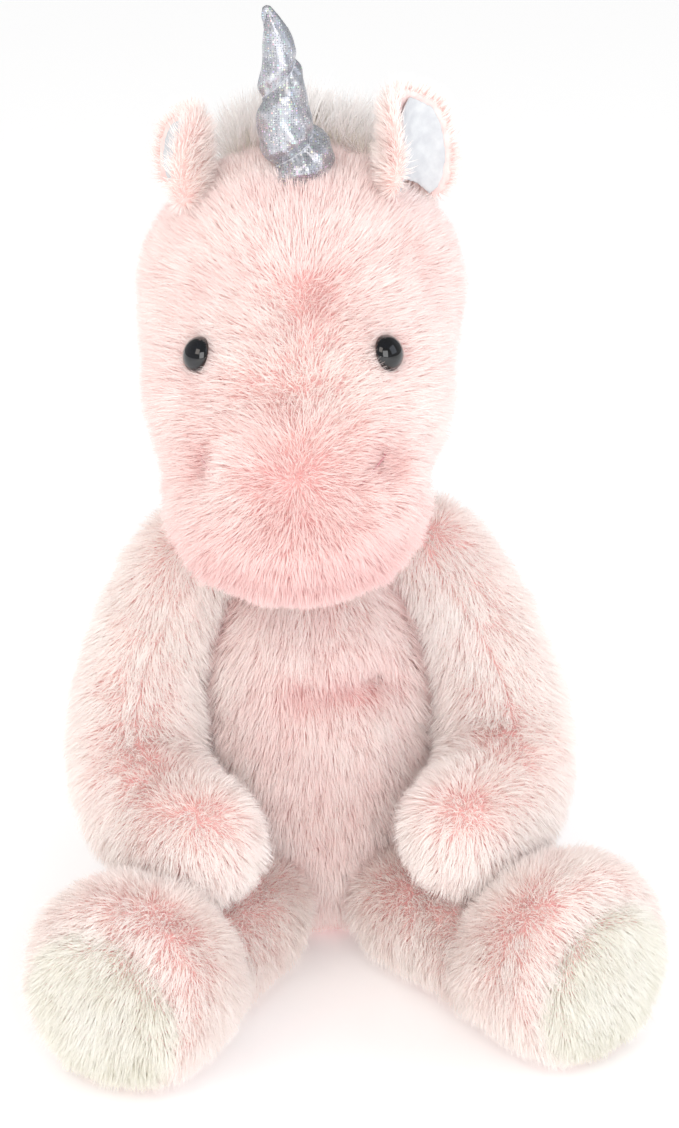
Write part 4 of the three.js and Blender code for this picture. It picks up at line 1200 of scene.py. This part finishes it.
wound = []
for step in range(WINDING_STEPS + 1):
    rise = 0.03 + 0.93 * step / WINDING_STEPS
    turn = 2 * math.pi * (rise * TURNS + START)
    out = horn_side * math.cos(turn) + horn_front * math.sin(turn)
    middle = horn_centre(rise) + out * (horn_radius(rise, turn) + 0.15 * MM)
    wound += ring(middle, out, horn_axis, WINDING_RADIUS, WINDING_SIDES)
wound_faces = ring_faces(WINDING_STEPS, WINDING_SIDES)
wound_faces.append(tuple(range(WINDING_SIDES)))
wound_faces.append(tuple(reversed(range(len(wound) - WINDING_SIDES, len(wound)))))
wound_faces = [tuple(reversed(face)) for face in wound_faces]
winding = new_object("horn_winding", wound, wound_faces, SILVER_THREAD)
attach(winding, "horn")
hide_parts("horn_thread")
print("horn", round(horn_length / MM, 1), "mm long,", TURNS, "turns")

# %% [markdown]
# ## The ears
# An ear is a plush cup lined with smooth velour. The plush turns over the edge, so
# its pile stands round the lining as a fringe.

# %% Ears
# The lining is white velour; these grey colours paint in the shade of the ear's hollow.
VELOUR = backing("white velour", "#d6d8da", "#c6c8cc")
EAR_BACKING = backing("pale pink backing", "#f7e2de", "#efd0cc")
for side, sign in SIDES.items():
    plush_node, lining_node = f"ear_{side}_plush", f"ear_{side}_lining"
    fold = np.array(JOINTS[f"ear_{side}_fold"]["pos_m"])
    root = ball(fold - np.array([0, 0, 5 * MM]), (11 * MM, 8 * MM, 9 * MM))
    ear = bag(f"ear_{side}_skin", [plush_node], [root], voxel=1.8 * MM, rounds=4)
    ear.data.materials.append(EAR_BACKING)
    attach(ear, f"ear_{side}")
    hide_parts(plush_node)
    lining = bag(f"ear_{side}_velour", [lining_node], voxel=0.9 * MM, rounds=6)
    refine(lining)
    lining.data.materials.append(VELOUR)
    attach(lining, f"ear_{side}")
    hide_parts(lining_node)

    corners, triangles = solid_soup([lining_node])
    lining_tree = BVHTree.FromPolygons(corners.tolist(), triangles.tolist())
    points, normals = points_of(ear), normals_of(ear)
    gap = np.array([lining_tree.find_nearest(point.tolist())[3] for point in points])
    inside = gap < 2.6 * MM
    fringe = np.exp(-((gap - 2.6 * MM) / (5 * MM)) ** 2)
    middle = points.mean(0)
    rise = np.clip((points[:, 2] - fold[2]) / (50 * MM), 0, 1)
    flow = unit(points - middle) * 0.5 + np.array([0.2 * sign, 0.0, 0.9])
    fields = {"comb": along_skin(flow, normals) * 0.9,
              "pile": (7.5 + 1.5 * rise) * MM * np.where(fringe > 0.5, 0.8, 1.0),
              "cover": np.ones(len(points)),
              "tint": 0.86 + 0.14 * rise - 0.05 * fringe}
    fur = grow(f"{plush_node}_pile", ear, ~inside, fields, PINK, Density=2.4e6)
    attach(fur, f"ear_{side}")

# %% [markdown]
# ## The mane and the tail
# Both are tufts of longer, undyed pile, sewn to a narrow stuffed strip.

# %% Mane and tail
LONG_PILE = {"Density": 0.95e6, "Width": 0.5 * MM, "Frizz": 0.26, "Tuft Gap": 7 * MM, "Tuft Lean": 0.3,
             "Droop": 0.25, "Segments": 4}
TUFTS = [("mane", "head", 27 * MM, (0.0, -0.1, 1.0)), ("tail", "tail", 13 * MM, (0.0, 1.0, -0.6))]
for name, body, length, lie in TUFTS:
    core = bag(f"{name}_core", [name], voxel=2.2 * MM, rounds=6)
    if name == "tail":
        points = points_of(core)
        points[:, 2] = np.maximum(points[:, 2], 0.8 * MM)
        move_points(core, points)
    core.data.materials.append(WHITE_BACKING)
    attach(core, body)
    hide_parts(name)
    points, normals = points_of(core), normals_of(core)
    count = len(points)
    fields = {"comb": along_skin(np.tile(np.array(lie), (count, 1)), normals), "pile": np.full(count, length),
              "cover": np.ones(count), "tint": np.full(count, 0.9)}
    fur = grow(f"{name}_pile", core, np.ones(count, bool), fields, GREY, **LONG_PILE)
    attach(fur, body)

# %% [markdown]
# ## The care label
# A short satin tape, folded and caught in the side seam. Its print is left out.

# %% Care label
TAPE, tape_tree, tape_shader = surface("white satin tape", Roughness=0.38, IOR=1.5, Sheen_Weight=0.3)
tape_place = add(tape_tree, "ShaderNodeTexCoord").outputs["Object"]
# The ribs are drawn only as pale and darker bands, the darker ones painted shade between the ribs.
ribs = add(tape_tree, "ShaderNodeTexWave", {"Vector": tape_place, "Scale": 420.0}, bands_direction="Z")
ribbed = ramp(tape_tree, ribs.outputs["Fac"], [(0.2, "#e2e1dc"), (0.8, "#f7f6f2")])
tape_tree.links.new(ribbed, tape_shader.inputs["Base Color"])
label_low, label_high = (np.array(v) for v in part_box("care_label"))
size = label_high - label_low
centre = (label_low + label_high) / 2
long_way = int(np.argsort(size)[2])
corners, faces = [], []
across_rows, down_rows = 10, 8
thin = int(np.argsort(size)[0])
other = 3 - long_way - thin
for layer in (-1, 1):
    for i in range(across_rows + 1):
        for k in range(down_rows + 1):
            u, v = i / across_rows - 0.5, k / down_rows - 0.5
            place = centre.copy()
            place[long_way] += u * size[long_way]
            place[other] += v * size[other]
            place[thin] += layer * 0.3 * MM + 1.2 * MM * math.sin(u * 2.6) * (0.6 + v)
            corners.append(place)
sheet_size = (across_rows + 1) * (down_rows + 1)


def tape_corner(layer, i, k):
    """The number of one corner of the tape."""
    return layer * sheet_size + i * (down_rows + 1) + k


def tape_face(*spots):
    """A face of the tape between some of its corners."""
    return tuple(tape_corner(*spot) for spot in spots)


for i in range(across_rows):
    for k in range(down_rows):
        faces.append(tape_face((0, i, k + 1), (0, i + 1, k + 1), (0, i + 1, k), (0, i, k)))
        faces.append(tape_face((1, i, k), (1, i + 1, k), (1, i + 1, k + 1), (1, i, k + 1)))
for i in range(across_rows):
    faces.append(tape_face((0, i, 0), (0, i + 1, 0), (1, i + 1, 0), (1, i, 0)))
    faces.append(tape_face((0, i + 1, down_rows), (0, i, down_rows), (1, i, down_rows),
                           (1, i + 1, down_rows)))
for k in range(down_rows):
    faces.append(tape_face((0, 0, k + 1), (0, 0, k), (1, 0, k), (1, 0, k + 1)))
    faces.append(tape_face((0, across_rows, k), (0, across_rows, k + 1), (1, across_rows, k + 1),
                           (1, across_rows, k)))
label = new_object("care_label_tape", corners, faces, TAPE, smooth=False)
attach(label, "torso")
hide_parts("care_label")
print("label", (size / MM).round(1))

# %% [markdown]
# ## Floor, light and camera
# A pale floor and a bright sky of soft white wrap the toy, so its shadow is only
# where it meets the floor. A warm lamp from the upper left, a cooler one from the right
# and a broad white one in front give form.

# %% Stage
FLOOR, _, floor_shader = surface("white paper sweep", Roughness=0.9, Specular_IOR_Level=0.1)
floor_shader.inputs["Base Color"].default_value = linear("#fdfdfd")
floor_shader.inputs["Emission Color"].default_value = linear("#ffffff")
floor_shader.inputs["Emission Strength"].default_value = 0.14
floor = new_object("floor", [(-8, -8, 0), (8, -8, 0), (8, 8, 0), (-8, 8, 0)], [(0, 1, 2, 3)], FLOOR)
floor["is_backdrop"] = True
world = bpy.data.worlds.new("sky")
world.use_nodes = True
bpy.context.scene.world = world
air = world.node_tree
sky = air.nodes["Background"]
sky.inputs["Color"].default_value = linear("#ffffff")
mirrored = add(air, "ShaderNodeLightPath").outputs["Is Glossy Ray"]
dimmed = add(air, "ShaderNodeMapRange", {"Value": mirrored, "To Min": 0.95, "To Max": 0.3}).outputs[0]
direction = add(air, "ShaderNodeTexCoord").outputs["Generated"]
height = add(air, "ShaderNodeSeparateXYZ", {0: direction}).outputs["Z"]
overhead = add(air, "ShaderNodeMapRange", {"Value": height, "From Min": 0.1, "From Max": 0.9, "To Min": 1.1,
                                           "To Max": 0.74}).outputs[0]
air.links.new(maths(air, "MULTIPLY", dimmed, overhead), sky.inputs["Strength"])


def lamp(name, place, aim, size, power, colour):
    """A square area lamp that looks at a point."""
    light = bpy.data.lights.new(name, "AREA")
    light.size = size
    light.energy = power
    light.color = linear(colour)[:3]
    made = bpy.data.objects.new(name, light)
    made.location = place
    made.rotation_euler = (Vector(aim) - Vector(place)).to_track_quat("-Z", "Y").to_euler()
    bpy.context.scene.collection.objects.link(made)
    return made


lamp("key", (-0.9, -1.2, 1.4), (0, 0, 0.2), 0.9, 6, "#fff4ea")
lamp("fill", (1.3, -0.6, 1.0), (0, 0, 0.2), 1.0, 3, "#e6eeff")
lamp("front", (0.1, -1.8, 0.8), (0, 0, 0.15), 1.2, 13, "#ffffff")

# %% Camera
CAMERA_TARGET = Vector((0.004, -0.040, 0.178))
CAMERA_DISTANCE = 1.0
CAMERA_ELEVATION = math.radians(22)
CAMERA_TURN = math.radians(5)
level = math.cos(CAMERA_ELEVATION)
back = Vector((-math.sin(CAMERA_TURN) * level, -math.cos(CAMERA_TURN) * level, math.sin(CAMERA_ELEVATION)))
camera_data = bpy.data.cameras.new("camera")
camera_data.sensor_width = 36
camera_data.lens = 78.8
camera = bpy.data.objects.new("camera", camera_data)
camera.location = CAMERA_TARGET + back * CAMERA_DISTANCE
camera.rotation_euler = back.to_track_quat("Z", "Y").to_euler()
bpy.context.scene.collection.objects.link(camera)
scene = bpy.context.scene
scene.camera = camera
scene.view_settings.view_transform = "Standard"
scene.view_settings.exposure = 0.04
scene.cycles.diffuse_bounces = 8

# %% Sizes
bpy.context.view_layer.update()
total = sum(len(o.data.polygons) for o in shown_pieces() if o.type == "MESH")
print("faces in all", total)
